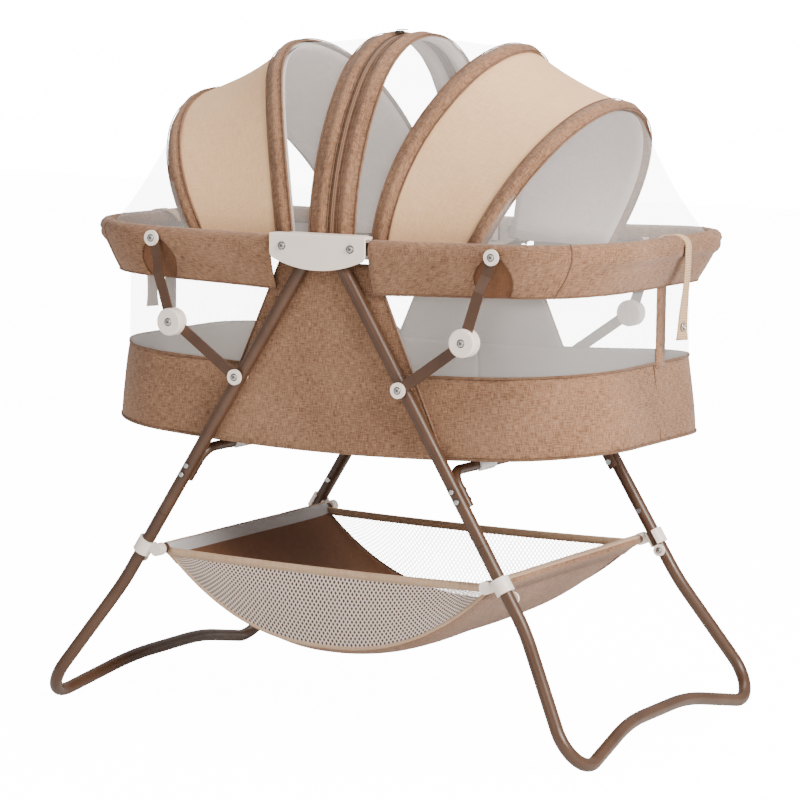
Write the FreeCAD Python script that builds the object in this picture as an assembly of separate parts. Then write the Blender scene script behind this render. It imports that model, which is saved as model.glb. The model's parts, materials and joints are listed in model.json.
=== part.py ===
import FreeCAD, Part
import math
import os
from FreeCAD import Vector

# Folding bassinet on a stand. Millimetres, +X along the length, -Y the front, +Z up.
# The origin is on the floor, in the middle of the four feet.

# Frame tubes
TUBE_R = 8.0
TUBE_WALL = 1.2
BORE_R = TUBE_R - TUBE_WALL
RUNNING_GAP = 0.05            # radial play of a pin in a hole that turns on it
WIDE = 300.0                  # beyond the whole part, for cutting blocks

# Hinge of the rim halves at the apex brackets
RIM_Z = 592.0
RIM_Y = 202.0                 # centre of the side tubes
RIM_HINGE_X = 47.9
RIM_END_X = 366.0             # centre of the end bar
RIM_CORNER_R = 110.0
RIM_OVERHANG = 8.0            # tube past its hinge bolt

# Legs: straight upper tubes, splayed lower tubes, one bent foot tube per side
LEG_HINGE_X = 21.3
LEG_HINGE_Z = 578.0
LEG_SLOPE_X = 0.6252          # outward run per unit of drop
LEG_HINGE_Y = 201.2
LEG_SLOPE_Y = 0.016
LEG_OVERHANG = 10.0           # tube past its hinge pin
LEG_SEAM_Z = 250.0            # the foot tube slips over the upper tube's reduced end up to here
LEG_PLUG = 40.0               # length of the reduced end
LEG_NECK = 3.0                # the bore narrows this far above the seam
LEG_SEAM_GAP = 0.5
PLUG_R = BORE_R - 0.15
PLUG_WALL = 1.0
LEG_BEND_Z = 155.7
LEG_BEND_R = 150.0
FOOT_X = 384.0                # where the lower tube's line meets the foot bar's line
FOOT_Y = 267.0
FOOT_Z = -4.42
FOOT_CORNER_R = 40.0
ARCH_Y = 80.0                 # half width of the raised middle of the foot bar
ARCH_Z = 32.0
ARCH_LEAN = 0.64              # the foot bar lies in the slanted plane of the splayed tubes
ARCH_R = 350.0

# Bar under the tub, riveted inside each pair of legs
SUPPORT_R = 6.0
SUPPORT_Z = 333.0
SUPPORT_LOW_Z = 293.0
SUPPORT_CORNER_R = 20.0
SUPPORT_GAP = 0.3
RIVET_ZS = (312.0, 300.5)
RIVET_R = 2.5
RIVET_HEAD_R = 3.6
RIVET_HEAD = 1.6
RIVET_BAR_CUT = 4.0           # the hole in the bar starts this far from the leg's centre
CLIP_Y = 111.0                # clips that hold the tub's floor to the bar
CLIP_LENGTH = 38.0
CLIP_R = 8.0
CLIP_MOUTH = 6.0
SEAT_GAP = 0.15               # under heads and washers on the leaning tubes

# Apex bracket, a channel that opens downwards over the tube ends
BRACKET_HALF = 66.5
BRACKET_TOP = 607.0
BRACKET_LOW = 564.0
BRACKET_SHOULDER = 579.0      # height where the curved lower edge meets the ends
BRACKET_OUTER_Y = 217.5
BRACKET_PLATE = 3.5
BRACKET_INNER_Y = 186.0
BRACKET_INNER = 3.0
BRACKET_INNER_HALF = 58.0
BRACKET_INNER_SHOULDER = 584.0
BRACKET_LIP = 3.0
BRACKET_LIP_DEPTH = 19.0      # the lip's ends reach this far over the tubes
BRACKET_EDGE_R = 6.0
BRACKET_CORNER_R = 9.0        # lower corners of the outer plate
BRACKET_SOFT_R = 2.0          # long upper edge
BOLT_R = 3.0
BOLT_HEAD_R = 5.0
BOLT_HEAD = 2.0
LEG_PIN_R = 2.5
LEG_PIN_COVER = 1.3           # plate left over the pin's blind hole
NUT_HEIGHT = 3.5
BOLT_SEAT = 0.02
EDGE_MATCH = 0.01             # how closely an edge is matched when it is picked

# Braces: an upper arm on the rim, a lower arm on the leg, a round hub where they meet
BRACE_RIM_X = 238.2
BRACE_HUB_X = 205.5
BRACE_HUB_Z = 490.7
BRACE_LEG_X = 115.2
BRACE_BAR = 2.5
BRACE_HALF_WIDTH = 6.8
BRACE_EYE_R = 9.0
BRACE_LOW_Y = 213.8           # inner face of the lower arm and of the upper arm's rim end
BRACE_HIGH_Y = 220.9          # inner face of the upper arm beside the hub
BRACE_CRANK_START = 24.0
BRACE_CRANK_END = 44.0
BRACE_BOLT_R = 3.0
BRACE_NUT_R = 5.0
BRACE_NUT = 3.0
BRACE_SPACER_R = 7.0
BRACE_PLAY = 0.1              # along the bolt, each side of the arm
BRACE_CRANK_SHIFT = 0.6       # the crank's outer face is shifted by this, which keeps its thickness
BRACE_CAP_R = 9.6
BRACE_CAP = 3.2
HUB_R = 17.0
HUB_INNER_Y = 211.3
HUB_SPLIT_Y = 219.8
HUB_SPLIT_GAP = 0.4
HUB_OUTER_Y = 229.2
HUB_EDGE = 2.0

# Basket, its collars and its stop screws
COLLAR_Z = 205.8
COLLAR_R = 11.6
COLLAR_HEIGHT = 19.0
COLLAR_PLAY = 0.2
COLLAR_MOUTH = (-8.5, 3.5)    # snap-on mouth on the inner side, across the leg
COLLAR_MOUTH_DEPTH = 4.0      # the mouth ends this far short of the leg's centre plane
LUG_HALF = 6.5
LUG_BOSS = 1.5                # the boss is this much thicker than the lug
LUG_END = 2.0                 # closed end of the boss
BASKET_BAR_X = 234.0
BASKET_BAR_Z = 202.0
BASKET_BAR_R = 5.0
BASKET_BAR_WALL = 1.0
BASKET_HALF_Y = 190.0
BASKET_TOP_X = 226.0
BASKET_TOP_Z = 199.0
BASKET_LOW_Z = 84.0
BASKET_POWER = 2.3            # how flat the sling's belly is
BASKET_STEPS = 12
FABRIC = 2.0
STOP_SCREW_DROP = 15.0
STOP_SCREW_R = 2.5
STOP_SCREW_SHORT = 2.0        # the screw ends this far short of the leg's centre
STOP_CAP_R = 7.7
STOP_CAP = 3.6

# Snap buttons that lock the foot tubes in the upper tubes
SNAP_Z = 239.0
SNAP_R = 3.2
SNAP_PROUD = 3.0
SNAP_TRAVEL = 3.0
SNAP_HEAD_PLAY = 0.08
SNAP_SPRING_LENGTH = 22.0
SNAP_SPRING = 0.5
SNAP_SPRING_WIDTH = 5.0
SNAP_SPRING_DEPTH = 4.6       # from the tube's centre to the outer face of the leaf
SNAP_SPRING_ABOVE = 4.0       # leaf above the button

# Fabric tub
TUB_HALF_Y = 191.3
TUB_HALF_X = 353.0
TUB_FLARE = 6.0               # how far the lower edge stands out at the ends
TUB_CORNER_R = 108.0
TUB_LOW_Z = 341.5
BAND_TOP_Z = 441.0
WINDOW_TOP_Z = 583.0
PANEL_TOP_Z = 572.0
PANEL_TOP_HALF = 62.0
PANEL_LOW_HALF = 165.0
SEAM_GAP = 0.4
BOARD = 4.0
BOARD_UP = 0.5                # above the band's lower edge
BOARD_CLEAR = 1.0
MATTRESS = 28.0
MATTRESS_CLEAR = 4.0

# Fabric skirt over the rim
VALANCE_START_X = 74.0
VALANCE_OUT = 9.4
VALANCE_THICK = 2.4
VALANCE_TOP_GAP = 0.6
VALANCE_LOW_Z = 537.0
SLOT_LOW_X = 208.0
SLOT_HIGH_X = 251.0
SLOT_GAP = 0.2                # from the tube to the slot's inner face

# Canopy hoops: foot, height along the hoop's leaning plane, lean in degrees, and how far the
# middle of its sides bows back towards the centre
HOOP_HALF = 179.0
HOOP_R = 3.5
HOOP_SIDE_R = 320.0
HOOP_FOOT_Z = 592.0
HOOP_EYE_R = 5.5
HOOP_EYE = 3.0
HOOP_PIN_R = 2.0
HOOP_SEAT_R = 3.0
HOOP_HEAD_R = 3.2
HOOP_HEAD = 1.5
HOOP_EYE_PLAY = 0.3
HOOP_PIN_INTO = 0.9           # the pin is shaped to the tube it sits against
HOOP_NECK = 9.0               # flattened length above the eye
HOOP_NECK_CUT = 5.6
HOOPS = {
    "centre": (16.5, 249.0, 0.0, 0.0),
    "inner": (66.0, 253.0, 21.0, 16.0),
    "end": (193.0, 196.0, 29.0, 0.0),
}
ARCH_STEPS = 8                # points on each quarter of a hoop's curve
CANOPY_OFFSET = 4.0           # the cloth lies over the rods
CANOPY_CLOTH = 1.5
NET_END_X = 340.0
NET_END_HALF = 120.0
NET_END_HEIGHT = 16.0
NET_END_SHOULDER = 0.7        # share of the arch's half width and height at its shoulders
CANOPY_LOW_Z = 607.5

# Pull strap at each end, zipper at the crown
STRAP_WIDTH = 16.0
STRAP_THICK = 1.6
STRAP_Y = 20.0
STRAP_LOW_Z = 478.0
STRAP_OFF = 0.5               # clear of the skirt
STRAP_HANG = 2.0              # the hanging part stands this much further out
STRAP_TUCK = 4.0              # length inside the tube
ZIP_SLIDER = (9.0, 12.0, 4.0)
ZIP_SLIDER_Y = -24.0          # closed: the slider stops a little in front of the crown
ZIP_DROP = 2.0                # the crown falls by this much at the slider
ZIP_TAB = (6.0, 24.0, 1.4)
ZIP_TAB_GAP = 0.4
ZIP_EYE_R = 0.7               # round bar at the tab's end, on which it flips


# Small helpers

def unit(v):
    return Vector(v).normalize()


def cylinder(radius, start, end):
    axis = end.sub(start)
    return Part.makeCylinder(radius, axis.Length, start, axis)


def along_y(radius, x, z, y_from, y_to):
    return cylinder(radius, Vector(x, y_from, z), Vector(x, y_to, z))


def rounded_path(points, radii):
    """Straight runs joined by tangent arcs."""
    edges = []
    last = points[0]
    for i in range(1, len(points) - 1):
        corner = points[i]
        back = unit(points[i - 1].sub(corner))
        ahead = unit(points[i + 1].sub(corner))
        half = back.getAngle(ahead) / 2.0
        reach = radii[i - 1] / math.tan(half)
        start = corner.add(Vector(back).multiply(reach))
        end = corner.add(Vector(ahead).multiply(reach))
        inward = unit(back.add(ahead))
        centre = corner.add(Vector(inward).multiply(radii[i - 1] / math.sin(half)))
        middle = centre.sub(Vector(inward).multiply(radii[i - 1]))
        if last.distanceToPoint(start) > 1e-6:
            edges.append(Part.LineSegment(last, start).toShape())
        edges.append(Part.Arc(start, middle, end).toShape())
        last = end
    edges.append(Part.LineSegment(last, points[-1]).toShape())
    return Part.Wire(edges)


def swept(path, radius):
    first = path.Edges[0]
    start = first.valueAt(first.FirstParameter)
    ring = Part.Wire([Part.makeCircle(radius, start, first.tangentAt(first.FirstParameter))])
    return path.makePipeShell([ring], True, False)


def swept_tube(path, outer, inner):
    return swept(path, outer).cut(swept(path, inner))


def mirrored_y(shape):
    return shape.mirror(Vector(0, 0, 0), Vector(0, 1, 0))


def mirrored_x(shape):
    return shape.mirror(Vector(0, 0, 0), Vector(1, 0, 0))


def front_and_back(shape):
    """The shape is made at the back, where y is positive."""
    return [mirrored_y(shape), shape]


def group(shapes):
    solids = []
    for shape in shapes:
        solids.extend(shape.Solids)
    return Part.makeCompound(solids)


def rounded_rectangle(half_x, half_y, radius, z):
    """Closed wire, centred on the Z axis."""
    flat_x = half_x - radius
    flat_y = half_y - radius
    diagonal = radius * math.sqrt(0.5)
    edges = []
    corners = ((1, 1), (-1, 1), (-1, -1), (1, -1))
    for i, (sx, sy) in enumerate(corners):
        side = Vector(sx * half_x, sy * flat_y, z)
        end = Vector(sx * flat_x, sy * half_y, z)
        middle = Vector(sx * (flat_x + diagonal), sy * (flat_y + diagonal), z)
        start, stop = (side, end) if sx * sy > 0 else (end, side)
        edges.append(Part.Arc(start, middle, stop).toShape())
        nx, ny = corners[(i + 1) % 4]
        if nx == sx:
            following = Vector(nx * half_x, ny * flat_y, z)
        else:
            following = Vector(nx * flat_x, ny * half_y, z)
        edges.append(Part.LineSegment(stop, following).toShape())
    return Part.Wire(edges)


def wall(outer_low, outer_high, thickness, low_z, high_z, radius):
    """Ring-shaped wall between two rounded rectangles given as (half x, half y)."""
    outer = Part.makeLoft([
        rounded_rectangle(outer_low[0], outer_low[1], radius, low_z),
        rounded_rectangle(outer_high[0], outer_high[1], radius, high_z)], True)
    inner = Part.makeLoft([
        rounded_rectangle(outer_low[0] - thickness, outer_low[1] - thickness,
                          radius - thickness, low_z),
        rounded_rectangle(outer_high[0] - thickness, outer_high[1] - thickness,
                          radius - thickness, high_z)], True)
    return outer.cut(inner)


def half_space(x_low, x_high):
    """A block over the whole width and height between two x planes."""
    return Part.makeBox(x_high - x_low, 2 * WIDE, 4 * WIDE, Vector(x_low, -WIDE, -WIDE))


def prism(points, y_from, y_to):
    """Flat outline of (x, z) points, extruded along Y."""
    corners = [Vector(x, y_from, z) for x, z in points]
    face = Part.Face(Part.makePolygon(corners + [corners[0]]))
    return face.extrude(Vector(0, y_to - y_from, 0))


# Places on the legs; the right back leg has x and y positive

def leg_point(z):
    drop = LEG_HINGE_Z - z
    return Vector(LEG_HINGE_X + LEG_SLOPE_X * drop, LEG_HINGE_Y + LEG_SLOPE_Y * drop, z)


LEG_DOWN = unit(Vector(LEG_SLOPE_X, LEG_SLOPE_Y, -1))


def along_leg(z, distance):
    return leg_point(z).add(Vector(LEG_DOWN).multiply(distance))


# Legs

def cross_hole(shape, centre, radius):
    return shape.cut(along_y(radius, centre.x, centre.z,
                             centre.y - 2 * TUBE_R, centre.y + 2 * TUBE_R))


def upper_leg():
    """Straight tube with a reduced lower end that plugs into the foot tube."""
    top = along_leg(LEG_HINGE_Z, -LEG_OVERHANG)
    neck = along_leg(LEG_SEAM_Z, -LEG_NECK)
    bottom = leg_point(LEG_SEAM_Z)
    end = along_leg(LEG_SEAM_Z, LEG_PLUG)
    tube = cylinder(TUBE_R, top, bottom).fuse(cylinder(PLUG_R, neck, end))
    tube = tube.cut([cylinder(BORE_R, top, neck), cylinder(PLUG_R - PLUG_WALL, top, end)])
    tube = cross_hole(tube, leg_point(LEG_HINGE_Z), LEG_PIN_R + RUNNING_GAP)
    for z in RIVET_ZS:
        tube = cross_hole(tube, leg_point(z), RIVET_R + RUNNING_GAP)
    brace_z = leg_z_at(BRACE_LEG_X)
    tube = cross_hole(tube, leg_point(brace_z), BRACE_BOLT_R + RUNNING_GAP)
    return tube.cut(snap_hole())


def snap_hole():
    p = leg_point(SNAP_Z)
    return along_y(SNAP_R + SNAP_HEAD_PLAY, p.x, p.z, p.y - 2 * TUBE_R, p.y)


def leg_z_at(x):
    return LEG_HINGE_Z - (x - LEG_HINGE_X) / LEG_SLOPE_X


def foot_tube():
    """Both lower tubes and the arched foot bar of one side, bent from one tube."""
    seam = along_leg(LEG_SEAM_Z, LEG_SEAM_GAP)
    bend = leg_point(LEG_BEND_Z)
    foot = Vector(FOOT_X, FOOT_Y, FOOT_Z)
    shoulder = Vector(FOOT_X - ARCH_LEAN * (ARCH_Z - FOOT_Z), ARCH_Y, ARCH_Z)
    back = [seam, bend, foot, shoulder]
    front = [Vector(p.x, -p.y, p.z) for p in back]
    radii = [LEG_BEND_R, FOOT_CORNER_R, ARCH_R]
    path = rounded_path(back + front[::-1], radii + radii[::-1])
    body = swept_tube(path, TUBE_R, BORE_R)
    screw = leg_point(COLLAR_Z - STOP_SCREW_DROP)
    screw_hole = along_y(STOP_SCREW_R + RUNNING_GAP, screw.x, screw.z,
                         screw.y - 2 * TUBE_R, screw.y)
    return body.cut(front_and_back(screw_hole) + front_and_back(snap_hole()))


def base_support():
    inset = TUBE_R + SUPPORT_R + SUPPORT_GAP
    low = leg_point(SUPPORT_LOW_Z)
    top = leg_point(SUPPORT_Z)
    low_y = low.y - inset
    side_y = top.y - inset
    back = [Vector(low.x, low_y, low.z), Vector(top.x, side_y, top.z)]
    front = [Vector(p.x, -p.y, p.z) for p in back]
    path = rounded_path(back + front[::-1], [SUPPORT_CORNER_R, SUPPORT_CORNER_R])
    bar = swept_tube(path, SUPPORT_R, SUPPORT_R - TUBE_WALL)
    for z in RIVET_ZS:
        p = leg_point(z)
        for sy in (1, -1):
            bar = bar.cut(along_y(RIVET_R + RUNNING_GAP, p.x, p.z,
                                  sy * (p.y - 2 * inset), sy * (p.y - RIVET_BAR_CUT)))
    return bar


def floor_clip():
    """C-shaped clip round the bar, open below."""
    x = leg_point(SUPPORT_Z).x
    start = CLIP_Y - CLIP_LENGTH / 2
    end = CLIP_Y + CLIP_LENGTH / 2
    ring = along_y(CLIP_R, x, SUPPORT_Z, start, end)
    ring = ring.cut(along_y(SUPPORT_R + RUNNING_GAP, x, SUPPORT_Z, start, end))
    mouth = Part.makeBox(CLIP_MOUTH, CLIP_LENGTH, CLIP_R,
                         Vector(x - CLIP_MOUTH / 2, start, SUPPORT_Z - CLIP_R))
    return ring.cut(mouth)


def support_rivet(z):
    p = leg_point(z)
    outer = p.y + TUBE_R
    inner = p.y - TUBE_R - 2 * SUPPORT_R - SUPPORT_GAP
    rod = along_y(RIVET_R, p.x, p.z, inner - RIVET_HEAD, outer + RIVET_HEAD)
    head = along_y(RIVET_HEAD_R, p.x, p.z, outer + SEAT_GAP, outer + RIVET_HEAD)
    tail = along_y(RIVET_HEAD_R, p.x, p.z, inner - RIVET_HEAD, inner - SEAT_GAP)
    return rod.fuse([head, tail]).removeSplitter()


def snap_button():
    """Round button on a leaf spring inside the plug; pressing it moves it along Y."""
    p = leg_point(SNAP_Z)
    face_y = p.y - TUBE_R - SNAP_PROUD
    leaf_y = p.y - SNAP_SPRING_DEPTH
    head = along_y(SNAP_R, p.x, p.z, face_y, leaf_y + SNAP_SPRING / 2)
    leaf = Part.makeBox(SNAP_SPRING_WIDTH, SNAP_SPRING, SNAP_SPRING_LENGTH,
                        Vector(-SNAP_SPRING_WIDTH / 2, 0, SNAP_SPRING_ABOVE - SNAP_SPRING_LENGTH))
    leaf.Placement = FreeCAD.Placement(
        Vector(p.x, leaf_y, p.z),
        FreeCAD.Rotation(Vector(0, 1, 0), -math.degrees(math.atan(LEG_SLOPE_X))))
    return head.fuse(leaf).removeSplitter()


def collar():
    """Moulded ring round the leg, with a lug that carries the end of the basket bar."""
    high = along_leg(COLLAR_Z, -COLLAR_HEIGHT / 2)
    low = along_leg(COLLAR_Z, COLLAR_HEIGHT / 2)
    ring = cylinder(COLLAR_R, high, low)
    p = leg_point(COLLAR_Z)
    lug = cylinder(LUG_HALF, Vector(BASKET_BAR_X, p.y, BASKET_BAR_Z), Vector(p.x, p.y, p.z))
    boss = along_y(LUG_HALF + LUG_BOSS, BASKET_BAR_X, BASKET_BAR_Z,
                   p.y - LUG_HALF, p.y + LUG_HALF)
    body = ring.fuse([lug, boss])
    far_high = along_leg(COLLAR_Z, -COLLAR_HEIGHT)
    far_low = along_leg(COLLAR_Z, COLLAR_HEIGHT)
    body = body.cut(cylinder(TUBE_R + COLLAR_PLAY, far_high, far_low))
    bar = along_y(BASKET_BAR_R + RUNNING_GAP, BASKET_BAR_X, BASKET_BAR_Z,
                  p.y - COLLAR_HEIGHT, p.y + LUG_HALF - LUG_END)
    left, right = COLLAR_MOUTH
    mouth = prism([(far_high.x + left, far_high.z), (far_high.x + right, far_high.z),
                   (far_low.x + right, far_low.z), (far_low.x + left, far_low.z)],
                  p.y - COLLAR_HEIGHT, p.y - COLLAR_MOUTH_DEPTH)
    return body.cut([bar, mouth])


def basket_end_bar():
    end = leg_point(COLLAR_Z).y + LUG_HALF - LUG_END - COLLAR_PLAY
    outer = along_y(BASKET_BAR_R, BASKET_BAR_X, BASKET_BAR_Z, -end, end)
    return outer.cut(along_y(BASKET_BAR_R - BASKET_BAR_WALL, BASKET_BAR_X, BASKET_BAR_Z, -end, end))


def stop_screw():
    p = leg_point(COLLAR_Z - STOP_SCREW_DROP)
    inner = p.y - TUBE_R
    rod = along_y(STOP_SCREW_R, p.x, p.z, inner - STOP_CAP, p.y - STOP_SCREW_SHORT)
    cap = along_y(STOP_CAP_R, p.x, p.z, inner - STOP_CAP, inner - SEAT_GAP)
    return rod.fuse(cap).removeSplitter()


def brace_pivot(x, z, tube_y):
    """Shouldered bolt: washer against the tube, then the arm, then a broad plastic cap."""
    inner = tube_y - TUBE_R
    cap_at = BRACE_LOW_Y + BRACE_BAR + BRACE_PLAY
    rod = along_y(BRACE_BOLT_R, x, z, inner - BRACE_NUT, cap_at + BRACE_CAP)
    nut = along_y(BRACE_NUT_R, x, z, inner - BRACE_NUT, inner - SEAT_GAP)
    spacer = along_y(BRACE_SPACER_R, x, z, tube_y + TUBE_R + SEAT_GAP, BRACE_LOW_Y - BRACE_PLAY)
    cap = along_y(BRACE_CAP_R, x, z, cap_at, cap_at + BRACE_CAP)
    return rod.fuse([nut, spacer, cap]).removeSplitter()


# Rim

def rim_tube():
    start = RIM_HINGE_X - RIM_OVERHANG
    back = [Vector(start, RIM_Y, RIM_Z), Vector(RIM_END_X, RIM_Y, RIM_Z)]
    front = [Vector(p.x, -p.y, p.z) for p in back]
    path = rounded_path(back + front[::-1], [RIM_CORNER_R, RIM_CORNER_R])
    tube = swept_tube(path, TUBE_R, BORE_R)
    for sy in (1, -1):
        for x, radius in ((RIM_HINGE_X, BOLT_R), (BRACE_RIM_X, BRACE_BOLT_R)):
            tube = tube.cut(along_y(radius + RUNNING_GAP, x, RIM_Z,
                                    sy * (RIM_Y - 2 * TUBE_R), sy * (RIM_Y + 2 * TUBE_R)))
    return tube


def hoop_pin(x, rod_end, seat_end):
    """Pin through a hoop's eye, with a head inside and a seat towards the frame."""
    eye_in = HOOP_HALF - HOOP_EYE / 2
    eye_out = HOOP_HALF + HOOP_EYE / 2
    rod = along_y(HOOP_PIN_R, x, HOOP_FOOT_Z, eye_in - HOOP_HEAD, rod_end)
    seat = along_y(HOOP_SEAT_R, x, HOOP_FOOT_Z, eye_out + HOOP_EYE_PLAY, seat_end)
    tip = along_y(HOOP_HEAD_R, x, HOOP_FOOT_Z, eye_in - HOOP_HEAD, eye_in - HOOP_EYE_PLAY)
    return rod.fuse([seat, tip]).removeSplitter()


def rim_pivots():
    pieces = []
    bolt = brace_pivot(BRACE_RIM_X, RIM_Z, RIM_Y)
    pieces.extend(front_and_back(bolt))
    for name in ("inner", "end"):
        x = HOOPS[name][0]
        pin = hoop_pin(x, RIM_Y - TUBE_R + HOOP_PIN_INTO, RIM_Y - TUBE_R + HOOP_PIN_INTO)
        around = Part.makeCylinder(TUBE_R + RUNNING_GAP, 2 * RIM_END_X,
                                   Vector(-RIM_END_X, RIM_Y, RIM_Z), Vector(1, 0, 0))
        pieces.extend(front_and_back(pin.cut(around)))
    return pieces


def valance():
    """Skirt over the rim tube: an outer wall and a top, open below and inside."""
    outer = (RIM_END_X + VALANCE_OUT + VALANCE_THICK, RIM_Y + VALANCE_OUT + VALANCE_THICK)
    radius = RIM_CORNER_R + VALANCE_OUT + VALANCE_THICK
    top = RIM_Z + TUBE_R + VALANCE_TOP_GAP
    side = wall(outer, outer, VALANCE_THICK, VALANCE_LOW_Z, top, radius)
    width = VALANCE_OUT + VALANCE_THICK + TUBE_R
    cover = wall(outer, outer, width, top, top + VALANCE_THICK, radius)
    skirt = side.fuse(cover).removeSplitter()
    skirt = skirt.common(half_space(VALANCE_START_X, 2 * RIM_END_X))
    low_y = RIM_Y + TUBE_R + SLOT_GAP
    height = top + TUBE_R - VALANCE_LOW_Z
    slot = Part.makeBox(SLOT_HIGH_X - SLOT_LOW_X, 2 * TUBE_R, height,
                        Vector(SLOT_LOW_X, low_y, VALANCE_LOW_Z))
    return skirt.cut(front_and_back(slot))


def pull_strap(sx):
    """Webbing that comes over the end bar and hangs down outside the tub."""
    out = RIM_END_X + VALANCE_OUT + VALANCE_THICK + STRAP_OFF + STRAP_HANG
    top = RIM_Z + TUBE_R + VALANCE_TOP_GAP + VALANCE_THICK + STRAP_OFF
    inner = RIM_END_X - TUBE_R - STRAP_THICK - STRAP_TUCK
    outline = [
        (inner, top), (out, top), (out, STRAP_LOW_Z), (out + STRAP_THICK, STRAP_LOW_Z),
        (out + STRAP_THICK, top + STRAP_THICK), (inner, top + STRAP_THICK)]
    middle = sx * STRAP_Y
    return prism([(sx * x, z) for x, z in outline],
                 middle - STRAP_WIDTH / 2, middle + STRAP_WIDTH / 2)


# Brackets

def bracket():
    """Back bracket: outer plate with a curved lower edge, lip over the tubes, inner plate."""
    def plate(half, shoulder, y_from, y_to):
        left = Vector(-half, y_from, shoulder)
        right = Vector(half, y_from, shoulder)
        low = Vector(0, y_from, BRACKET_LOW)
        top_left = Vector(-half, y_from, BRACKET_TOP)
        top_right = Vector(half, y_from, BRACKET_TOP)
        edges = [
            Part.Arc(left, low, right).toShape(),
            Part.LineSegment(right, top_right).toShape(),
            Part.LineSegment(top_right, top_left).toShape(),
            Part.LineSegment(top_left, left).toShape()]
        solid = Part.Face(Part.Wire(edges)).extrude(Vector(0, y_to - y_from, 0))
        corners = [e for e in solid.Edges
                   if abs(abs(e.CenterOfMass.x) - half) < EDGE_MATCH
                   and abs(e.tangentAt(e.FirstParameter).y) > 0.9]
        return solid, corners

    outer, corners = plate(BRACKET_HALF, BRACKET_SHOULDER,
                           BRACKET_OUTER_Y - BRACKET_PLATE, BRACKET_OUTER_Y)
    lower = [e for e in corners if e.CenterOfMass.z < RIM_Z]
    outer = outer.makeFillet(BRACKET_CORNER_R, lower)
    inner, corners = plate(BRACKET_INNER_HALF, BRACKET_INNER_SHOULDER,
                           BRACKET_INNER_Y, BRACKET_INNER_Y + BRACKET_INNER)
    inner = inner.makeFillet(BRACKET_EDGE_R, corners)
    lip_half = BRACKET_INNER_HALF - BRACKET_EDGE_R
    lip = Part.makeBox(2 * lip_half, BRACKET_OUTER_Y - BRACKET_INNER_Y, BRACKET_LIP,
                       Vector(-lip_half, BRACKET_INNER_Y, BRACKET_TOP - BRACKET_LIP))
    ends = Part.makeBox(2 * BRACKET_HALF, BRACKET_LIP_DEPTH, BRACKET_LIP,
                        Vector(-BRACKET_HALF, BRACKET_OUTER_Y - BRACKET_LIP_DEPTH,
                               BRACKET_TOP - BRACKET_LIP))
    body = outer.fuse([inner, lip, ends]).removeSplitter()
    long_edge = [e for e in body.Edges
                 if e.BoundBox.YMin > BRACKET_OUTER_Y - EDGE_MATCH
                 and e.BoundBox.ZMin > BRACKET_TOP - EDGE_MATCH]
    body = body.makeFillet(BRACKET_SOFT_R, long_edge)
    far = BRACKET_OUTER_Y + BRACKET_PLATE
    for sx in (1, -1):
        body = body.cut(along_y(BOLT_R + RUNNING_GAP, sx * RIM_HINGE_X, RIM_Z,
                                BRACKET_INNER_Y - BRACKET_INNER, far))
        body = body.cut(along_y(LEG_PIN_R + RUNNING_GAP, sx * LEG_HINGE_X, LEG_HINGE_Z,
                                BRACKET_INNER_Y - BRACKET_INNER, BRACKET_OUTER_Y - LEG_PIN_COVER))
        body = body.cut(along_y(HOOP_PIN_R + RUNNING_GAP, sx * HOOPS["centre"][0], HOOP_FOOT_Z,
                                BRACKET_INNER_Y - BRACKET_INNER,
                                BRACKET_INNER_Y + 2 * BRACKET_INNER))
    return body


def bracket_pins():
    pieces = []
    for sx in (1, -1):
        x = sx * RIM_HINGE_X
        rod = along_y(BOLT_R, x, RIM_Z, BRACKET_INNER_Y - NUT_HEIGHT, BRACKET_OUTER_Y + BOLT_HEAD)
        head = along_y(BOLT_HEAD_R, x, RIM_Z, BRACKET_OUTER_Y + BOLT_SEAT,
                       BRACKET_OUTER_Y + BOLT_HEAD)
        nut = along_y(BOLT_HEAD_R, x, RIM_Z, BRACKET_INNER_Y - NUT_HEIGHT,
                      BRACKET_INNER_Y - BOLT_SEAT)
        pieces.extend(front_and_back(rod.fuse([head, nut]).removeSplitter()))
        pin = along_y(LEG_PIN_R, sx * LEG_HINGE_X, LEG_HINGE_Z, BRACKET_INNER_Y,
                      BRACKET_OUTER_Y - LEG_PIN_COVER - BOLT_SEAT)
        pieces.extend(front_and_back(pin))
    return pieces


def centre_hoop_pins():
    pieces = []
    for sx in (1, -1):
        x = sx * HOOPS["centre"][0]
        pin = hoop_pin(x, BRACKET_INNER_Y + BRACKET_INNER, BRACKET_INNER_Y - RUNNING_GAP)
        pieces.extend(front_and_back(pin))
    return pieces


# Braces

def arm_shell(start, end, y_from, y_to):
    """Flat bar with round ends between two (x, z) points."""
    a = Vector(start[0], y_from, start[1])
    b = Vector(end[0], y_from, end[1])
    d = unit(b.sub(a))
    n = Vector(-d.z, 0, d.x).multiply(BRACE_HALF_WIDTH)
    outline = Part.makePolygon([a.add(n), b.add(n), b.sub(n), a.sub(n), a.add(n)])
    bar = Part.Face(outline).extrude(Vector(0, y_to - y_from, 0))
    eyes = [along_y(BRACE_EYE_R, start[0], start[1], y_from, y_to),
            along_y(BRACE_EYE_R, end[0], end[1], y_from, y_to)]
    return bar.fuse(eyes).removeSplitter()


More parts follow.
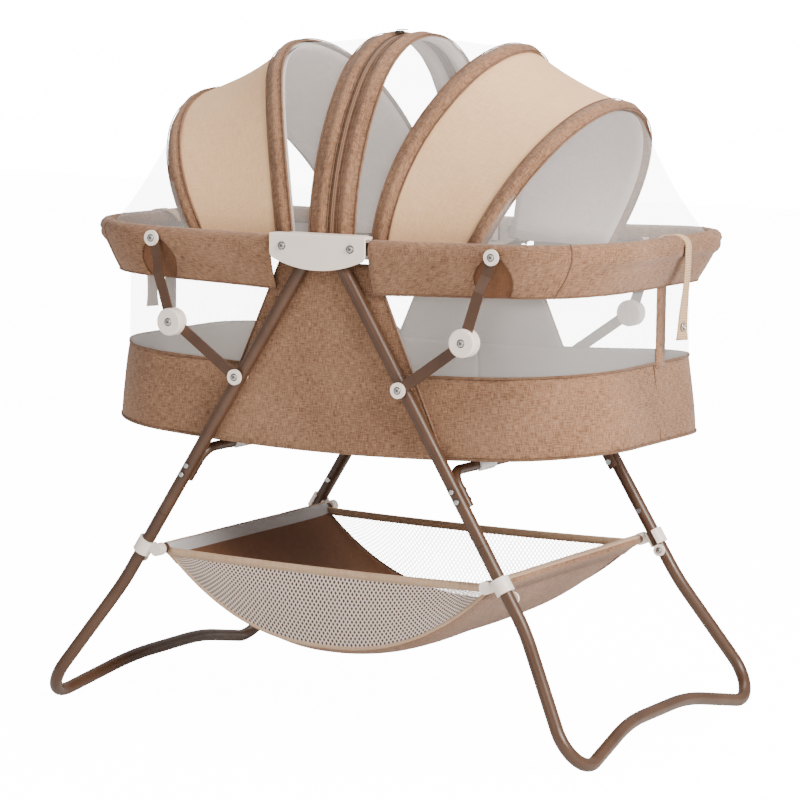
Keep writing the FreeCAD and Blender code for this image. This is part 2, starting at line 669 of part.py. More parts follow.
def upper_arm():
    rim = (BRACE_RIM_X, RIM_Z)
    hub = (BRACE_HUB_X, BRACE_HUB_Z)
    low, high = BRACE_LOW_Y, BRACE_HIGH_Y
    length = math.hypot(rim[0] - hub[0], rim[1] - hub[1])
    # side profile along the arm (s) and out from the tub (y)
    profile = [
        (-BRACE_EYE_R, low), (BRACE_CRANK_START, low), (BRACE_CRANK_END, high),
        (length + BRACE_EYE_R, high), (length + BRACE_EYE_R, high + BRACE_BAR),
        (BRACE_CRANK_END - BRACE_CRANK_SHIFT, high + BRACE_BAR),
        (BRACE_CRANK_START - BRACE_CRANK_SHIFT, low + BRACE_BAR),
        (-BRACE_EYE_R, low + BRACE_BAR)]
    d = unit(Vector(hub[0] - rim[0], 0, hub[1] - rim[1]))
    side = Vector(-d.z, 0, d.x)
    origin = Vector(rim[0], 0, rim[1]).sub(Vector(side).multiply(HUB_R))
    corners = [origin.add(Vector(d).multiply(s)).add(Vector(0, y, 0)) for s, y in profile]
    face = Part.Face(Part.makePolygon(corners + [corners[0]]))
    strip = face.extrude(Vector(side).multiply(2 * HUB_R))
    outline = arm_shell(rim, hub, low - BRACE_BAR, high + 2 * BRACE_BAR)
    arm = strip.common(outline)
    return arm.cut(along_y(BRACE_BOLT_R + RUNNING_GAP, rim[0], rim[1],
                           low - BRACE_BAR, high + BRACE_BAR))


def lower_arm():
    leg = (BRACE_LEG_X, leg_z_at(BRACE_LEG_X))
    hub = (BRACE_HUB_X, BRACE_HUB_Z)
    arm = arm_shell(leg, hub, BRACE_LOW_Y, BRACE_LOW_Y + BRACE_BAR)
    return arm.cut(along_y(BRACE_BOLT_R + RUNNING_GAP, leg[0], leg[1],
                           BRACE_LOW_Y - BRACE_BAR, BRACE_LOW_Y + 2 * BRACE_BAR))


def hub_disc(y_from, y_to, rounded_y):
    disc = along_y(HUB_R, BRACE_HUB_X, BRACE_HUB_Z, y_from, y_to)
    rims = [e for e in disc.Edges
            if abs(e.BoundBox.YMin - rounded_y) < EDGE_MATCH
            and abs(e.BoundBox.YMax - rounded_y) < EDGE_MATCH]
    return disc.makeFillet(HUB_EDGE, rims)


def outer_hub_cover():
    disc = hub_disc(HUB_SPLIT_Y + HUB_SPLIT_GAP, HUB_OUTER_Y, HUB_OUTER_Y)
    return disc.cut(upper_arm())


def inner_hub_cover():
    disc = hub_disc(HUB_INNER_Y, HUB_SPLIT_Y, HUB_INNER_Y)
    return disc.cut(lower_arm())


# Tub

def tub_outline(z):
    """Half sizes of the tub at a height; the ends flare towards the lower edge."""
    share = (BAND_TOP_Z - z) / (BAND_TOP_Z - TUB_LOW_Z)
    return (TUB_HALF_X + TUB_FLARE * max(share, 0.0), TUB_HALF_Y)


def panel_edge(z):
    share = (WINDOW_TOP_Z - z) / (WINDOW_TOP_Z - TUB_LOW_Z)
    return PANEL_TOP_HALF + (PANEL_LOW_HALF - PANEL_TOP_HALF) * share


def tub_fabric():
    """Lower band all round, with a tapering panel on each long side up to the rim."""
    low = tub_outline(TUB_LOW_Z)
    high = tub_outline(BAND_TOP_Z)
    band = wall(low, high, FABRIC, TUB_LOW_Z, BAND_TOP_Z, TUB_CORNER_R)
    outline = [(-panel_edge(BAND_TOP_Z), BAND_TOP_Z), (panel_edge(BAND_TOP_Z), BAND_TOP_Z),
               (panel_edge(PANEL_TOP_Z), PANEL_TOP_Z), (-panel_edge(PANEL_TOP_Z), PANEL_TOP_Z)]
    panel = prism(outline, TUB_HALF_Y - FABRIC, TUB_HALF_Y)
    return band.fuse([panel, mirrored_y(panel)]).removeSplitter()


def mesh_window():
    """Right end window: from the front panel round the end to the back panel."""
    size = (TUB_HALF_X, TUB_HALF_Y)
    ring = wall(size, size, FABRIC, BAND_TOP_Z + SEAM_GAP, WINDOW_TOP_Z, TUB_CORNER_R)
    low_x = panel_edge(BAND_TOP_Z) + SEAM_GAP
    high_x = PANEL_TOP_HALF + SEAM_GAP
    keep = prism([(low_x, BAND_TOP_Z), (2 * TUB_HALF_X, BAND_TOP_Z),
                  (2 * TUB_HALF_X, WINDOW_TOP_Z), (high_x, WINDOW_TOP_Z)], -WIDE, WIDE)
    return ring.common(keep)


def floor_slab(low_z, thickness, clear):
    size = tub_outline(TUB_LOW_Z)
    radius = TUB_CORNER_R - FABRIC - clear
    outline = rounded_rectangle(TUB_HALF_X - FABRIC - clear, size[1] - FABRIC - clear,
                                radius, low_z)
    return Part.Face(outline).extrude(Vector(0, 0, thickness))


# Basket

def sling_height(x, drop):
    share = abs(x) / BASKET_TOP_X
    return BASKET_LOW_Z - drop + (BASKET_TOP_Z - BASKET_LOW_Z + drop) * share ** BASKET_POWER


def sling_profile():
    """Outer and inner edge of the sling, as (x, z) points."""
    xs = [BASKET_TOP_X * i / BASKET_STEPS for i in range(-BASKET_STEPS, BASKET_STEPS + 1)]
    outer = [(x, sling_height(x, FABRIC)) for x in xs]
    inner = [(x * (1 - FABRIC / BASKET_TOP_X), sling_height(x, 0)) for x in xs]
    return outer, inner


def basket_sling():
    outer, inner = sling_profile()
    return prism(outer + inner[::-1], -BASKET_HALF_Y, BASKET_HALF_Y)


def basket_side_mesh():
    outer, inner = sling_profile()
    return prism(outer, BASKET_HALF_Y + SEAM_GAP, BASKET_HALF_Y + SEAM_GAP + FABRIC)


# Canopy

def arch_outline(half, height, side_r):
    """Points (y, h) over an arch whose side arcs start upright and meet a crown arc."""
    crown_r = (side_r ** 2 - (side_r - half) ** 2 - height ** 2) / (2 * (side_r - height))
    side_y = side_r - half
    meet = math.atan2(height - crown_r, side_y)
    rising = []
    for i in range(ARCH_STEPS):
        angle = meet * i / ARCH_STEPS
        rising.append((side_y - side_r * math.cos(angle), side_r * math.sin(angle)))
    for i in range(ARCH_STEPS):
        angle = meet + (math.pi / 2 - meet) * i / ARCH_STEPS
        rising.append((-crown_r * math.cos(angle), height - crown_r + crown_r * math.sin(angle)))
    return rising + [(0.0, height)] + [(-y, h) for y, h in reversed(rising)]


def side_view(name, h, rise):
    """Place (x, z) of a height h on a right hoop whose crown is at the height rise."""
    foot_x, height, lean, bow = HOOPS[name]
    s = math.sin(math.radians(lean))
    c = math.cos(math.radians(lean))
    share = h / rise
    back = 4 * bow * share * (1 - share)
    return foot_x + h * s - back * c, HOOP_FOOT_Z + h * c + back * s


def curve_through(points):
    curve = Part.BSplineCurve()
    curve.interpolate(points)
    return curve.toShape()


def arch_places(name, offset, gap=0.0):
    """Points along a right hoop, offset outwards and moved along X by a gap."""
    rise = HOOPS[name][1] + offset
    points = []
    for y, h in arch_outline(HOOP_HALF + offset, rise, HOOP_SIDE_R + offset):
        x, z = side_view(name, h, rise)
        points.append(Vector(x + gap, y, z))
    return points


def arch_edge(name, offset, gap=0.0):
    return curve_through(arch_places(name, offset, gap))


def hoop_path(name):
    """A flat hoop is a crown arc between two side arcs; a bowed one is a smooth curve."""
    if HOOPS[name][3] > 0:
        return Part.Wire([arch_edge(name, 0.0)])
    places = arch_places(name, 0.0)
    crown_end = 3 * ARCH_STEPS
    arcs = []
    for first, last in ((0, ARCH_STEPS), (ARCH_STEPS, crown_end), (crown_end, 4 * ARCH_STEPS)):
        middle = (first + last) // 2
        arcs.append(Part.Arc(places[first], places[middle], places[last]).toShape())
    return Part.Wire(arcs)


def hoop(name):
    """Right rod with a flat eye at each foot."""
    foot_x = HOOPS[name][0]
    z0 = HOOP_FOOT_Z
    rod = swept(hoop_path(name), HOOP_R)
    eyes = []
    for sy in (1, -1):
        eyes.append(along_y(HOOP_EYE_R, foot_x, z0, sy * (HOOP_HALF - HOOP_EYE / 2),
                            sy * (HOOP_HALF + HOOP_EYE / 2)))
    clear = Part.makeBox(2 * HUB_R, 2 * WIDE, HOOP_EYE_R + HOOP_NECK_CUT,
                         Vector(foot_x - HUB_R, -WIDE, z0 - HOOP_EYE_R))
    body = rod.cut(clear).fuse(eyes)
    for sy in (1, -1):
        body = body.fuse(neck(name, sy))
    body = body.removeSplitter()
    for sy in (1, -1):
        body = body.cut(along_y(HOOP_PIN_R + RUNNING_GAP, foot_x, z0,
                                sy * (HOOP_HALF - HOOP_NECK), sy * (HOOP_HALF + HOOP_NECK)))
    return body


def neck(name, sy):
    """Flattened end of the rod between its eye and its round part."""
    foot_x, height, lean, bow = HOOPS[name]
    foot_lean = math.radians(lean) - math.atan(4 * bow / height)
    s = math.sin(foot_lean)
    c = math.cos(foot_lean)
    z0 = HOOP_FOOT_Z
    start = Vector(foot_x, 0, z0)
    up = Vector(s, 0, c)
    across = Vector(c, 0, -s)
    a = start.add(Vector(across).multiply(HOOP_R))
    b = start.sub(Vector(across).multiply(HOOP_R))
    lift = Vector(up).multiply(HOOP_NECK)
    y_low = sy * HOOP_HALF - HOOP_EYE / 2
    corners = [p.add(Vector(0, y_low, 0)) for p in (a, a.add(lift), b.add(lift), b)]
    face = Part.Face(Part.makePolygon(corners + [corners[0]]))
    return face.extrude(Vector(0, HOOP_EYE, 0))


def canopy_cloth(first, second):
    """Cloth stretched between two curves, each given by its offset, above the rim only."""
    low = CANOPY_OFFSET
    high = CANOPY_OFFSET + CANOPY_CLOTH
    curves = [first(low), first(high), second(high), second(low)]
    faces = [Part.makeRuledSurface(curves[i - 1], curves[i]) for i in range(len(curves))]
    starts = [curve.valueAt(curve.FirstParameter) for curve in curves]
    ends = [curve.valueAt(curve.LastParameter) for curve in curves]
    for corners in (starts, ends):
        faces.append(Part.Face(Part.makePolygon(corners + [corners[0]])))
    shell = Part.Shell(faces)
    shell.sewShape()
    cloth = Part.Solid(shell)
    if cloth.Volume < 0:
        cloth.reverse()
    above = Part.makeBox(4 * WIDE, 2 * WIDE, 2 * WIDE, Vector(-2 * WIDE, -WIDE, CANOPY_LOW_Z))
    return cloth.common(above)


def canopy_shade():
    return canopy_cloth(lambda offset: arch_edge("inner", offset, SEAM_GAP),
                        lambda offset: arch_edge("end", offset, -SEAM_GAP))


def rim_end_arch(offset):
    """Low arch over the end of the rim, where the netting comes down."""
    half = NET_END_HALF + offset
    height = NET_END_HEIGHT + offset
    x = NET_END_X - SEAM_GAP
    low = RIM_Z + TUBE_R
    shoulder = NET_END_SHOULDER
    outline = ((-1, 0), (-shoulder, shoulder), (0, 1), (shoulder, shoulder), (1, 0))
    return curve_through([Vector(x, half * y, low + height * z) for y, z in outline])


def canopy_net():
    middle = canopy_cloth(lambda offset: arch_edge("centre", offset, SEAM_GAP),
                          lambda offset: arch_edge("inner", offset, -SEAM_GAP))
    end = canopy_cloth(lambda offset: arch_edge("end", offset, 2 * HOOP_R), rim_end_arch)
    return [middle, end]


def slider_low_z():
    return HOOP_FOOT_Z + HOOPS["centre"][1] + CANOPY_OFFSET + CANOPY_CLOTH - ZIP_DROP


def zip_slider():
    width, length, height = ZIP_SLIDER
    return Part.makeBox(width, length, height,
                        Vector(-width / 2, ZIP_SLIDER_Y - length / 2, slider_low_z()))


def zip_pull():
    """Tab with a round bar across its front end."""
    width, length, height = ZIP_TAB
    z = slider_low_z() + ZIP_SLIDER[2] + ZIP_TAB_GAP
    eye_y = ZIP_SLIDER_Y - ZIP_SLIDER[1] / 2 + ZIP_EYE_R
    tab = Part.makeBox(width, length - ZIP_EYE_R, height, Vector(-width / 2, eye_y, z))
    bar = cylinder(ZIP_EYE_R, Vector(-width / 2, eye_y, z + height / 2),
                   Vector(width / 2, eye_y, z + height / 2))
    return tab.fuse(bar).removeSplitter()


def write(name, shapes):
    solid_group = group(shapes)
    solid_group.exportStep(os.path.join("parts", name + ".step"))


def build():
    os.makedirs("parts", exist_ok=True)
    write("apex_brackets", front_and_back(bracket()))
    write("bracket_hinge_pins", bracket_pins())
    write("centre_hoop_pins", centre_hoop_pins())
    write("tub_fabric", [tub_fabric()])
    board_z = TUB_LOW_Z + BOARD_UP
    write("tub_floor_board", [floor_slab(board_z, BOARD, BOARD_CLEAR)])
    write("mattress_pad", [floor_slab(board_z + BOARD + SEAM_GAP, MATTRESS, MATTRESS_CLEAR)])
    write("basket_sling", [basket_sling()])
    write("basket_side_meshes", front_and_back(basket_side_mesh()))
    write("zipper_slider", [zip_slider()])
    write("zipper_pull", [zip_pull()])
    one_side = {
        "front_upper_leg": [mirrored_y(upper_leg())],
        "back_upper_leg": [upper_leg()],
        "foot_tube": [foot_tube()],
        "base_support": [base_support()],
        "floor_clips": front_and_back(floor_clip()),
        "support_rivets": [piece for z in RIVET_ZS for piece in front_and_back(support_rivet(z))],
        "leg_screws": front_and_back(stop_screw()) + front_and_back(
            brace_pivot(BRACE_LEG_X, leg_z_at(BRACE_LEG_X),
                        leg_point(leg_z_at(BRACE_LEG_X)).y)),
        "basket_collars": front_and_back(collar()),
        "basket_end_bar": [basket_end_bar()],
        "front_snap_button": [mirrored_y(snap_button())],
        "back_snap_button": [snap_button()],
        "rim_tube": [rim_tube()],
        "rim_pivots": rim_pivots(),
        "valance": [valance()],
        "mesh_window": [mesh_window()],
        "upper_braces": front_and_back(upper_arm()),
        "lower_braces": front_and_back(lower_arm()),
        "outer_hub_covers": front_and_back(outer_hub_cover()),
        "inner_hub_covers": front_and_back(inner_hub_cover()),
        "canopy_shade": [canopy_shade()],
        "canopy_net": canopy_net(),
    }
    for name in HOOPS:
        one_side[name + "_hoop"] = [hoop(name)]
    for name, shapes in one_side.items():
        write("right_" + name, shapes)
        write("left_" + name, [mirrored_x(shape) for shape in shapes])
    write("right_pull_strap", [pull_strap(1)])
    write("left_pull_strap", [pull_strap(-1)])


build()
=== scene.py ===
import json
import math

import bpy
from mathutils import Matrix, Vector, noise


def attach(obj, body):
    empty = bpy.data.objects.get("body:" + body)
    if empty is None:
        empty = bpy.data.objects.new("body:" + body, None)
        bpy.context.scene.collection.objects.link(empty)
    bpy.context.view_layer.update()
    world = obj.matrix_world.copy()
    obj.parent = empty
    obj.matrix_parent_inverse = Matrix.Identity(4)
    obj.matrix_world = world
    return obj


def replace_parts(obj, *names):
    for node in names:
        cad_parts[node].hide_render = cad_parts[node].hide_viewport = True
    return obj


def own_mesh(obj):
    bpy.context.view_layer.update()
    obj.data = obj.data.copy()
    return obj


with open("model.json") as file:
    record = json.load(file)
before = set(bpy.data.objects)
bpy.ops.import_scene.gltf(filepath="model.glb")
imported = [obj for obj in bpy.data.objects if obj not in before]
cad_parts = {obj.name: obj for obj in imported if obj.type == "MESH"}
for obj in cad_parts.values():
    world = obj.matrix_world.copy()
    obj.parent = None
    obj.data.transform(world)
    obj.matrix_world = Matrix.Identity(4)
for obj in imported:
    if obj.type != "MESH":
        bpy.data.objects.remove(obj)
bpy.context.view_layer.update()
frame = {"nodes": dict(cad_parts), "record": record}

# Sizes in metres, in the part's own frame: +X along the length, -Y the front, +Z up.
RIM_Z = 0.592
RIM_HALF_X = 0.366
RIM_HALF_Y = 0.202
RIM_CORNER = 0.110
RIM_LIFT = 0.0070            # the cloth climbs over the rim's ends
TUB_HALF_X = 0.3440
TUB_HALF_Y = 0.1908
TUB_FLARE = 0.0120           # the lower edge stands out at the ends
TUB_CORNER = 0.116
TUB_LOW = 0.3415
TUB_LOW_LIFT = 0.019
BAND_TOP = 0.4415
BAND_TOP_LIFT = 0.0135
WINDOW_TOP = 0.582
PANEL_TOP_HALF = 0.062
PANEL_LOW_HALF = 0.167
PANEL_TOP = 0.573
HOOP_HALF = 0.179
HOOP_SIDE_R = 0.32
HOOP_R = 0.0035
END_STRIP = 0.024            # strip up the middle of each end window
END_STRIP_Y = 0.018
HOOPS = {                    # foot x, height, lean in degrees, bow of the sides to the centre
    "centre": (0.0165, 0.249, 0.0, 0.0),
    "inner": (0.066, 0.253, 21.0, 0.016),
    "end": (0.193, 0.196, 29.0, 0.0),
}
BASKET_X = 0.234
BASKET_Y = 0.190
BASKET_TOP = 0.202
BASKET_LOW = 0.102
BASKET_BELLY = 0.018          # the belly hangs this far below the seams
INSIDE = (0, 0, 0.52)        # a point inside the tub, which outer faces look away from
SIDES = (("right", 1), ("left", -1))
FACES = (("front", -1), ("back", 1))
UP = Vector((0, 0, 1))


# Materials

WAVE_TURN = math.pi / 10     # a wave texture of this scale repeats once per unit


class Recipe:
    """A procedural material, put together node by node."""

    def __init__(self, name):
        self.material = bpy.data.materials.new(name)
        self.material.use_nodes = True
        self.tree = self.material.node_tree
        self.skin = self.tree.nodes["Principled BSDF"]
        self.output = self.tree.nodes["Material Output"]

    def node(self, kind, settings=None, inputs=None):
        made = self.tree.nodes.new("ShaderNode" + kind)
        for key, value in (settings or {}).items():
            setattr(made, key, value)
        for key, value in (inputs or {}).items():
            self.feed(made.inputs[key], value)
        return made

    def feed(self, socket, value):
        if isinstance(value, bpy.types.NodeSocket):
            self.tree.links.new(value, socket)
        else:
            socket.default_value = value

    def place(self, source, scale=(1, 1, 1), turn=0.0):
        coordinates = self.node("TexCoord")
        mapping = self.node("Mapping", inputs={"Vector": coordinates.outputs[source],
                                               "Scale": scale, "Rotation": (0, 0, turn)})
        return mapping.outputs["Vector"]

    def noise(self, vector, scale, detail=2.0):
        made = self.node("TexNoise", inputs={"Vector": vector, "Scale": scale, "Detail": detail})
        return made.outputs["Fac"]

    def bands(self, vector, pitch, axis):
        made = self.node("TexWave", {"bands_direction": axis},
                         {"Vector": vector, "Scale": WAVE_TURN / pitch})
        return made.outputs["Fac"]

    def math(self, operation, a, b=0.5):
        made = self.node("Math", {"operation": operation})
        self.feed(made.inputs[0], a)
        self.feed(made.inputs[1], b)
        return made.outputs[0]

    def scaled(self, value, factor, plus=0.0):
        return self.math("ADD", self.math("MULTIPLY", value, factor), plus)

    def ramp(self, factor, low, high):
        made = self.node("MapRange", inputs={"Value": factor, "From Min": low, "From Max": high})
        return made.outputs["Result"]

    def blend(self, factor, a, b):
        made = self.node("Mix", {"data_type": "RGBA"})
        self.feed(made.inputs[0], factor)
        for number, color in ((6, a), (7, b)):
            linked = isinstance(color, bpy.types.NodeSocket)
            self.feed(made.inputs[number], color if linked else (*color, 1.0))
        return made.outputs[2]

    def bump(self, height, strength, distance):
        made = self.node("Bump", inputs={"Height": height, "Strength": strength,
                                         "Distance": distance})
        self.feed(self.skin.inputs["Normal"], made.outputs["Normal"])

    def finish(self, color, rough, metal=0.0, sheen=0.0, gloss=0.5):
        for name, value in (("Base Color", color), ("Roughness", rough), ("Metallic", metal),
                            ("Sheen Weight", sheen), ("Specular IOR Level", gloss)):
            self.feed(self.skin.inputs[name], value)
        return self.material


def woven(name, dark, light, pitch=0.0014, fleck=0.0011, contrast=0.34, sheen=0.15):
    """Cloth with flecked yarns along both directions of the weave."""
    r = Recipe(name)
    plain = r.place("UV")
    weft = r.noise(r.place("UV", (0.12, 1.0, 0.6)), 1.0 / fleck)
    warp = r.noise(r.place("UV", (1.0, 0.12, 0.6)), 1.0 / fleck)
    fleck_mix = r.scaled(weft, 0.5, r.math("MULTIPLY", warp, 0.5))
    patches = r.noise(plain, 9.0)
    shade = r.scaled(r.math("SUBTRACT", patches, 0.5), 0.25, fleck_mix)
    factor = r.ramp(shade, 0.5 - contrast / 2, 0.5 + contrast / 2)
    weave = r.math("MULTIPLY", r.bands(plain, pitch, "X"), r.bands(plain, pitch, "Y"))
    color = r.blend(r.math("MULTIPLY", weave, 0.18), r.blend(factor, dark, light), dark)
    r.bump(r.math("ADD", weave, fleck_mix), 0.35, 0.0006)
    return r.finish(color, 0.92, sheen=sheen, gloss=0.2)


def netting(name, thread, low, high, pitch, turn=0.0, hole_shade=None, glow=0.25):
    """Open mesh: threads over clear gaps, or, if a colour is given, over gaps in that darker colour as
    painted shade.
    """
    r = Recipe(name)
    vector = r.place("UV", turn=turn)
    lines = r.math("MAXIMUM", r.bands(vector, pitch, "X"), r.bands(vector, pitch, "Y"))
    mask = r.ramp(lines, 0.55, 0.95)
    drift = r.ramp(r.noise(r.place("UV"), 14.0), 0.3, 0.7)
    cover = r.scaled(mask, high - low, low)
    cover = r.math("MULTIPLY", cover, r.scaled(drift, 0.12, 0.94))
    color = r.blend(drift, thread, tuple(0.94 * c for c in thread))
    if hole_shade:
        color = r.blend(mask, hole_shade, color)
    r.bump(lines, 0.3, 0.0004)
    r.finish(color, 0.9, sheen=0.1)
    soft = r.node("BsdfTranslucent", inputs={"Color": (*thread, 1.0)})
    lit = r.node("MixShader", inputs={0: glow})
    r.feed(lit.inputs[1], r.skin.outputs[0])
    r.feed(lit.inputs[2], soft.outputs[0])
    clear = r.node("BsdfTransparent")
    mixed = r.node("MixShader", inputs={0: cover})
    r.feed(mixed.inputs[1], clear.outputs[0])
    r.feed(mixed.inputs[2], lit.outputs[0])
    r.feed(r.output.inputs["Surface"], mixed.outputs[0])
    return r.material


def painted(name, dark, light, rough):
    """Satin paint with a fine skin, faint patches and a little rub along the high spots."""
    r = Recipe(name)
    vector = r.place("Object")
    patches = r.ramp(r.noise(vector, 22.0, 4.0), 0.3, 0.7)
    rub = r.ramp(r.noise(r.place("Object", (1, 1, 0.2)), 160.0, 3.0), 0.62, 0.8)
    color = r.blend(r.math("MULTIPLY", rub, 0.25), r.blend(patches, dark, light),
                    tuple(min(1.6 * c, 1.0) for c in light))
    skin = r.noise(vector, 900.0)
    r.bump(skin, 0.08, 0.0004)
    wear = r.ramp(r.noise(vector, 60.0, 3.0), 0.2, 0.8)
    return r.finish(color, r.scaled(wear, 0.14, rough - 0.07))


def moulded(name, base, rough=0.38):
    """Moulded plastic with faint flow marks and scuffs."""
    r = Recipe(name)
    vector = r.place("Object")
    flow = r.ramp(r.noise(vector, 35.0, 3.0), 0.3, 0.7)
    color = r.blend(flow, tuple(0.95 * c for c in base), base)
    scuffs = r.ramp(r.noise(r.place("Object", (1, 5, 1)), 120.0, 4.0), 0.55, 0.75)
    r.bump(r.noise(vector, 1200.0), 0.05, 0.0003)
    r.finish(color, r.scaled(scuffs, 0.15, rough))
    r.feed(r.skin.inputs["Subsurface Weight"], 0.08)
    r.feed(r.skin.inputs["Subsurface Radius"], (0.004, 0.003, 0.002))
    return r.material


def brushed(name, base, rough=0.3):
    """Metal with fine brushed lines."""
    r = Recipe(name)
    lines = r.noise(r.place("Object", (1, 1, 12)), 260.0, 3.0)
    color = r.blend(r.ramp(lines, 0.35, 0.65), tuple(0.8 * c for c in base), base)
    r.bump(lines, 0.1, 0.0002)
    return r.finish(color, r.scaled(lines, 0.2, rough - 0.1), metal=1.0)


def webbing(name, dark, light, pitch):
    """Ribbed tape; the ribs run across its width."""
    r = Recipe(name)
    ribs = r.bands(r.place("UV"), pitch, "Y")
    yarn = r.noise(r.place("UV", (1.0, 0.3, 1.0)), 500.0)
    factor = r.scaled(ribs, 0.7, r.math("MULTIPLY", yarn, 0.3))
    r.bump(r.math("ADD", ribs, yarn), 0.5, 0.0006)
    return r.finish(r.blend(factor, dark, light), 0.85, sheen=0.1)


def quilted(name, dark, light):
    """Pad cover with stitched diamonds."""
    r = Recipe(name)
    vector = r.place("Object", turn=math.pi / 4)
    lines = r.math("MINIMUM", r.bands(vector, 0.06, "X"), r.bands(vector, 0.06, "Y"))
    puff = r.ramp(lines, 0.0, 0.25)
    yarn = r.noise(r.place("Object"), 900.0)
    factor = r.scaled(puff, 0.7, r.math("MULTIPLY", yarn, 0.3))
    r.bump(puff, 0.6, 0.003)
    return r.finish(r.blend(factor, dark, light), 0.9, sheen=0.15)


def boarded(name, dark, light):
    """Hardboard with a fibrous face."""
    r = Recipe(name)
    fibres = r.noise(r.place("Object", (1, 6, 1)), 180.0, 4.0)
    r.bump(fibres, 0.2, 0.0005)
    return r.finish(r.blend(r.ramp(fibres, 0.3, 0.7), dark, light), 0.8)


BROWN_DARK = (0.105, 0.045, 0.020)
BROWN_LIGHT = (0.40, 0.225, 0.135)
LINEN = woven("brown_linen", BROWN_DARK, BROWN_LIGHT)
LINEN_EDGE = woven("brown_linen_edge", (0.09, 0.042, 0.022), (0.26, 0.14, 0.08))
# The brown linen made darker as painted shade, for cloth that lies in shade.
LINEN_SHADED = woven("brown_linen_painted_shade", (0.13, 0.055, 0.024), (0.22, 0.10, 0.048), contrast=0.5)
TAN = woven("tan_canopy", (0.76, 0.45, 0.23), (0.90, 0.58, 0.325), pitch=0.0011, fleck=0.002,
            contrast=0.35)
TAN_EDGE = woven("tan_binding", (0.42, 0.27, 0.17), (0.56, 0.39, 0.26), pitch=0.0011, fleck=0.003)
LINING = woven("grey_lining", (0.32, 0.275, 0.25), (0.39, 0.34, 0.315), pitch=0.0011, fleck=0.003,
               contrast=0.4)
# The canopy's grey lining made lighter still: painted light, for the daylight that shines through the
# shade cloth.
LIT_CANOPY_LINING = woven("canopy_lining_painted_light", (0.74, 0.655, 0.62), (0.83, 0.74, 0.70), pitch=0.0011,
                      fleck=0.003, contrast=0.35)
NET = netting("white_net", (0.97, 0.96, 0.96), 0.20, 0.26, 0.0014)
WINDOW_NET = netting("window_net", (0.97, 0.96, 0.96), 0.22, 0.30, 0.0014)
# The front basket net's dark gaps are painted shade of the basket's inside.
BASKET_NET = netting("basket_net", (0.84, 0.70, 0.62), 0.70, 1.0, 0.0042, turn=math.pi / 4,
                     hole_shade=(0.055, 0.035, 0.028), glow=0.1)
FAR_NET = netting("basket_net_back", (0.95, 0.93, 0.92), 0.12, 0.75, 0.0042, turn=math.pi / 4,
                  glow=0.3)
HEM = woven("light_hem", (0.46, 0.44, 0.44), (0.58, 0.56, 0.555), contrast=0.8)
WEB = webbing("tan_webbing", (0.40, 0.24, 0.12), (0.70, 0.47, 0.29), 0.0032)
TEETH = webbing("zipper_teeth", (0.10, 0.045, 0.02), (0.34, 0.19, 0.11), 0.0026)
BRONZE = painted("bronze_paint", (0.062, 0.027, 0.012), (0.086, 0.040, 0.020), 0.36)
CREAM = moulded("cream_plastic", (0.97, 0.83, 0.74))
MILKY = moulded("milky_plastic", (0.86, 0.86, 0.84), rough=0.22)
ROD = moulded("white_rod", (0.78, 0.77, 0.74))
STEEL = brushed("bright_steel", (0.60, 0.585, 0.565))
# Near-black for the insides of recesses and gaps: painted shade.
GAP_SHADE = painted("painted_gap_shade", (0.030, 0.024, 0.020), (0.045, 0.036, 0.030), 0.6)
BLACKENED = brushed("blackened_metal", (0.10, 0.085, 0.07), 0.4)
PAD = quilted("pad_cover", (0.66, 0.62, 0.57), (0.80, 0.77, 0.73))
BOARD = boarded("hardboard", (0.20, 0.12, 0.07), (0.30, 0.19, 0.11))

SLOT_LOOK = {
    "frame_bronze": BRONZE, "cream_plastic": CREAM, "steel": STEEL, "hoop_rod": ROD,
    "brown_linen": LINEN, "tan_canopy": TAN, "white_net": NET, "tub_mesh": WINDOW_NET,
    "basket_mesh": BASKET_NET, "tan_webbing": WEB, "pad_cover": PAD, "hardboard": BOARD,
    "zipper_black": BLACKENED, "clear_plastic": MILKY,
}
for part in frame["record"]["subparts"]:
    node_mesh = frame["nodes"][part["node"]].data
    node_mesh.materials.clear()
    node_mesh.materials.append(SLOT_LOOK[part["material_slot"]])


# Cloth surfaces

def placed(name, mesh):
    made = bpy.data.objects.new(name, mesh)
    bpy.context.scene.collection.objects.link(made)
    return made


def lattice(name, rows, look, thick=0.0, lining=None, gap=None, away=None):
    """Cloth through rows of points, with a UV map in metres. gap(i, j) leaves a cell out.
    Its right side faces away from the point given."""
    count = len(rows[0])
    heights = [0.0]
    for low, high in zip(rows, rows[1:]):
        heights.append(heights[-1] + sum((b - a).length for a, b in zip(low, high)) / count)
    widths = []
    for row in rows:
        run = [0.0]
        for a, b in zip(row, row[1:]):
            run.append(run[-1] + (b - a).length)
        widths.append([u - run[-1] / 2 for u in run])
    faces = []
    for i in range(len(rows) - 1):
        for j in range(count - 1):
            if gap is None or not gap(i, j):
                a = i * count + j
                faces.append((a, a + 1, a + count + 1, a + count))
    mesh = bpy.data.meshes.new(name)
    mesh.from_pydata([p for row in rows for p in row], [], faces)
    if away is not None:
        facing = sum(face.normal.dot(face.center - Vector(away)) * face.area
                     for face in mesh.polygons)
        if facing < 0:
            mesh.flip_normals()
    uv = mesh.uv_layers.new(name="UVMap")
    for loop in mesh.loops:
        i, j = divmod(loop.vertex_index, count)
        uv.data[loop.index].uv = (widths[i][j], heights[i])
    mesh.shade_smooth()
    mesh.materials.append(look)
    made = placed(name, mesh)
    made["flat"] = [max(w[-1] - w[0] for w in widths), heights[-1]]
    if lining:
        mesh.materials.append(lining)
    if thick:
        shell = made.modifiers.new("thickness", "SOLIDIFY")
        shell.thickness = thick
        shell.offset = -1.0
        if lining:
            shell.material_offset = 1
    return made


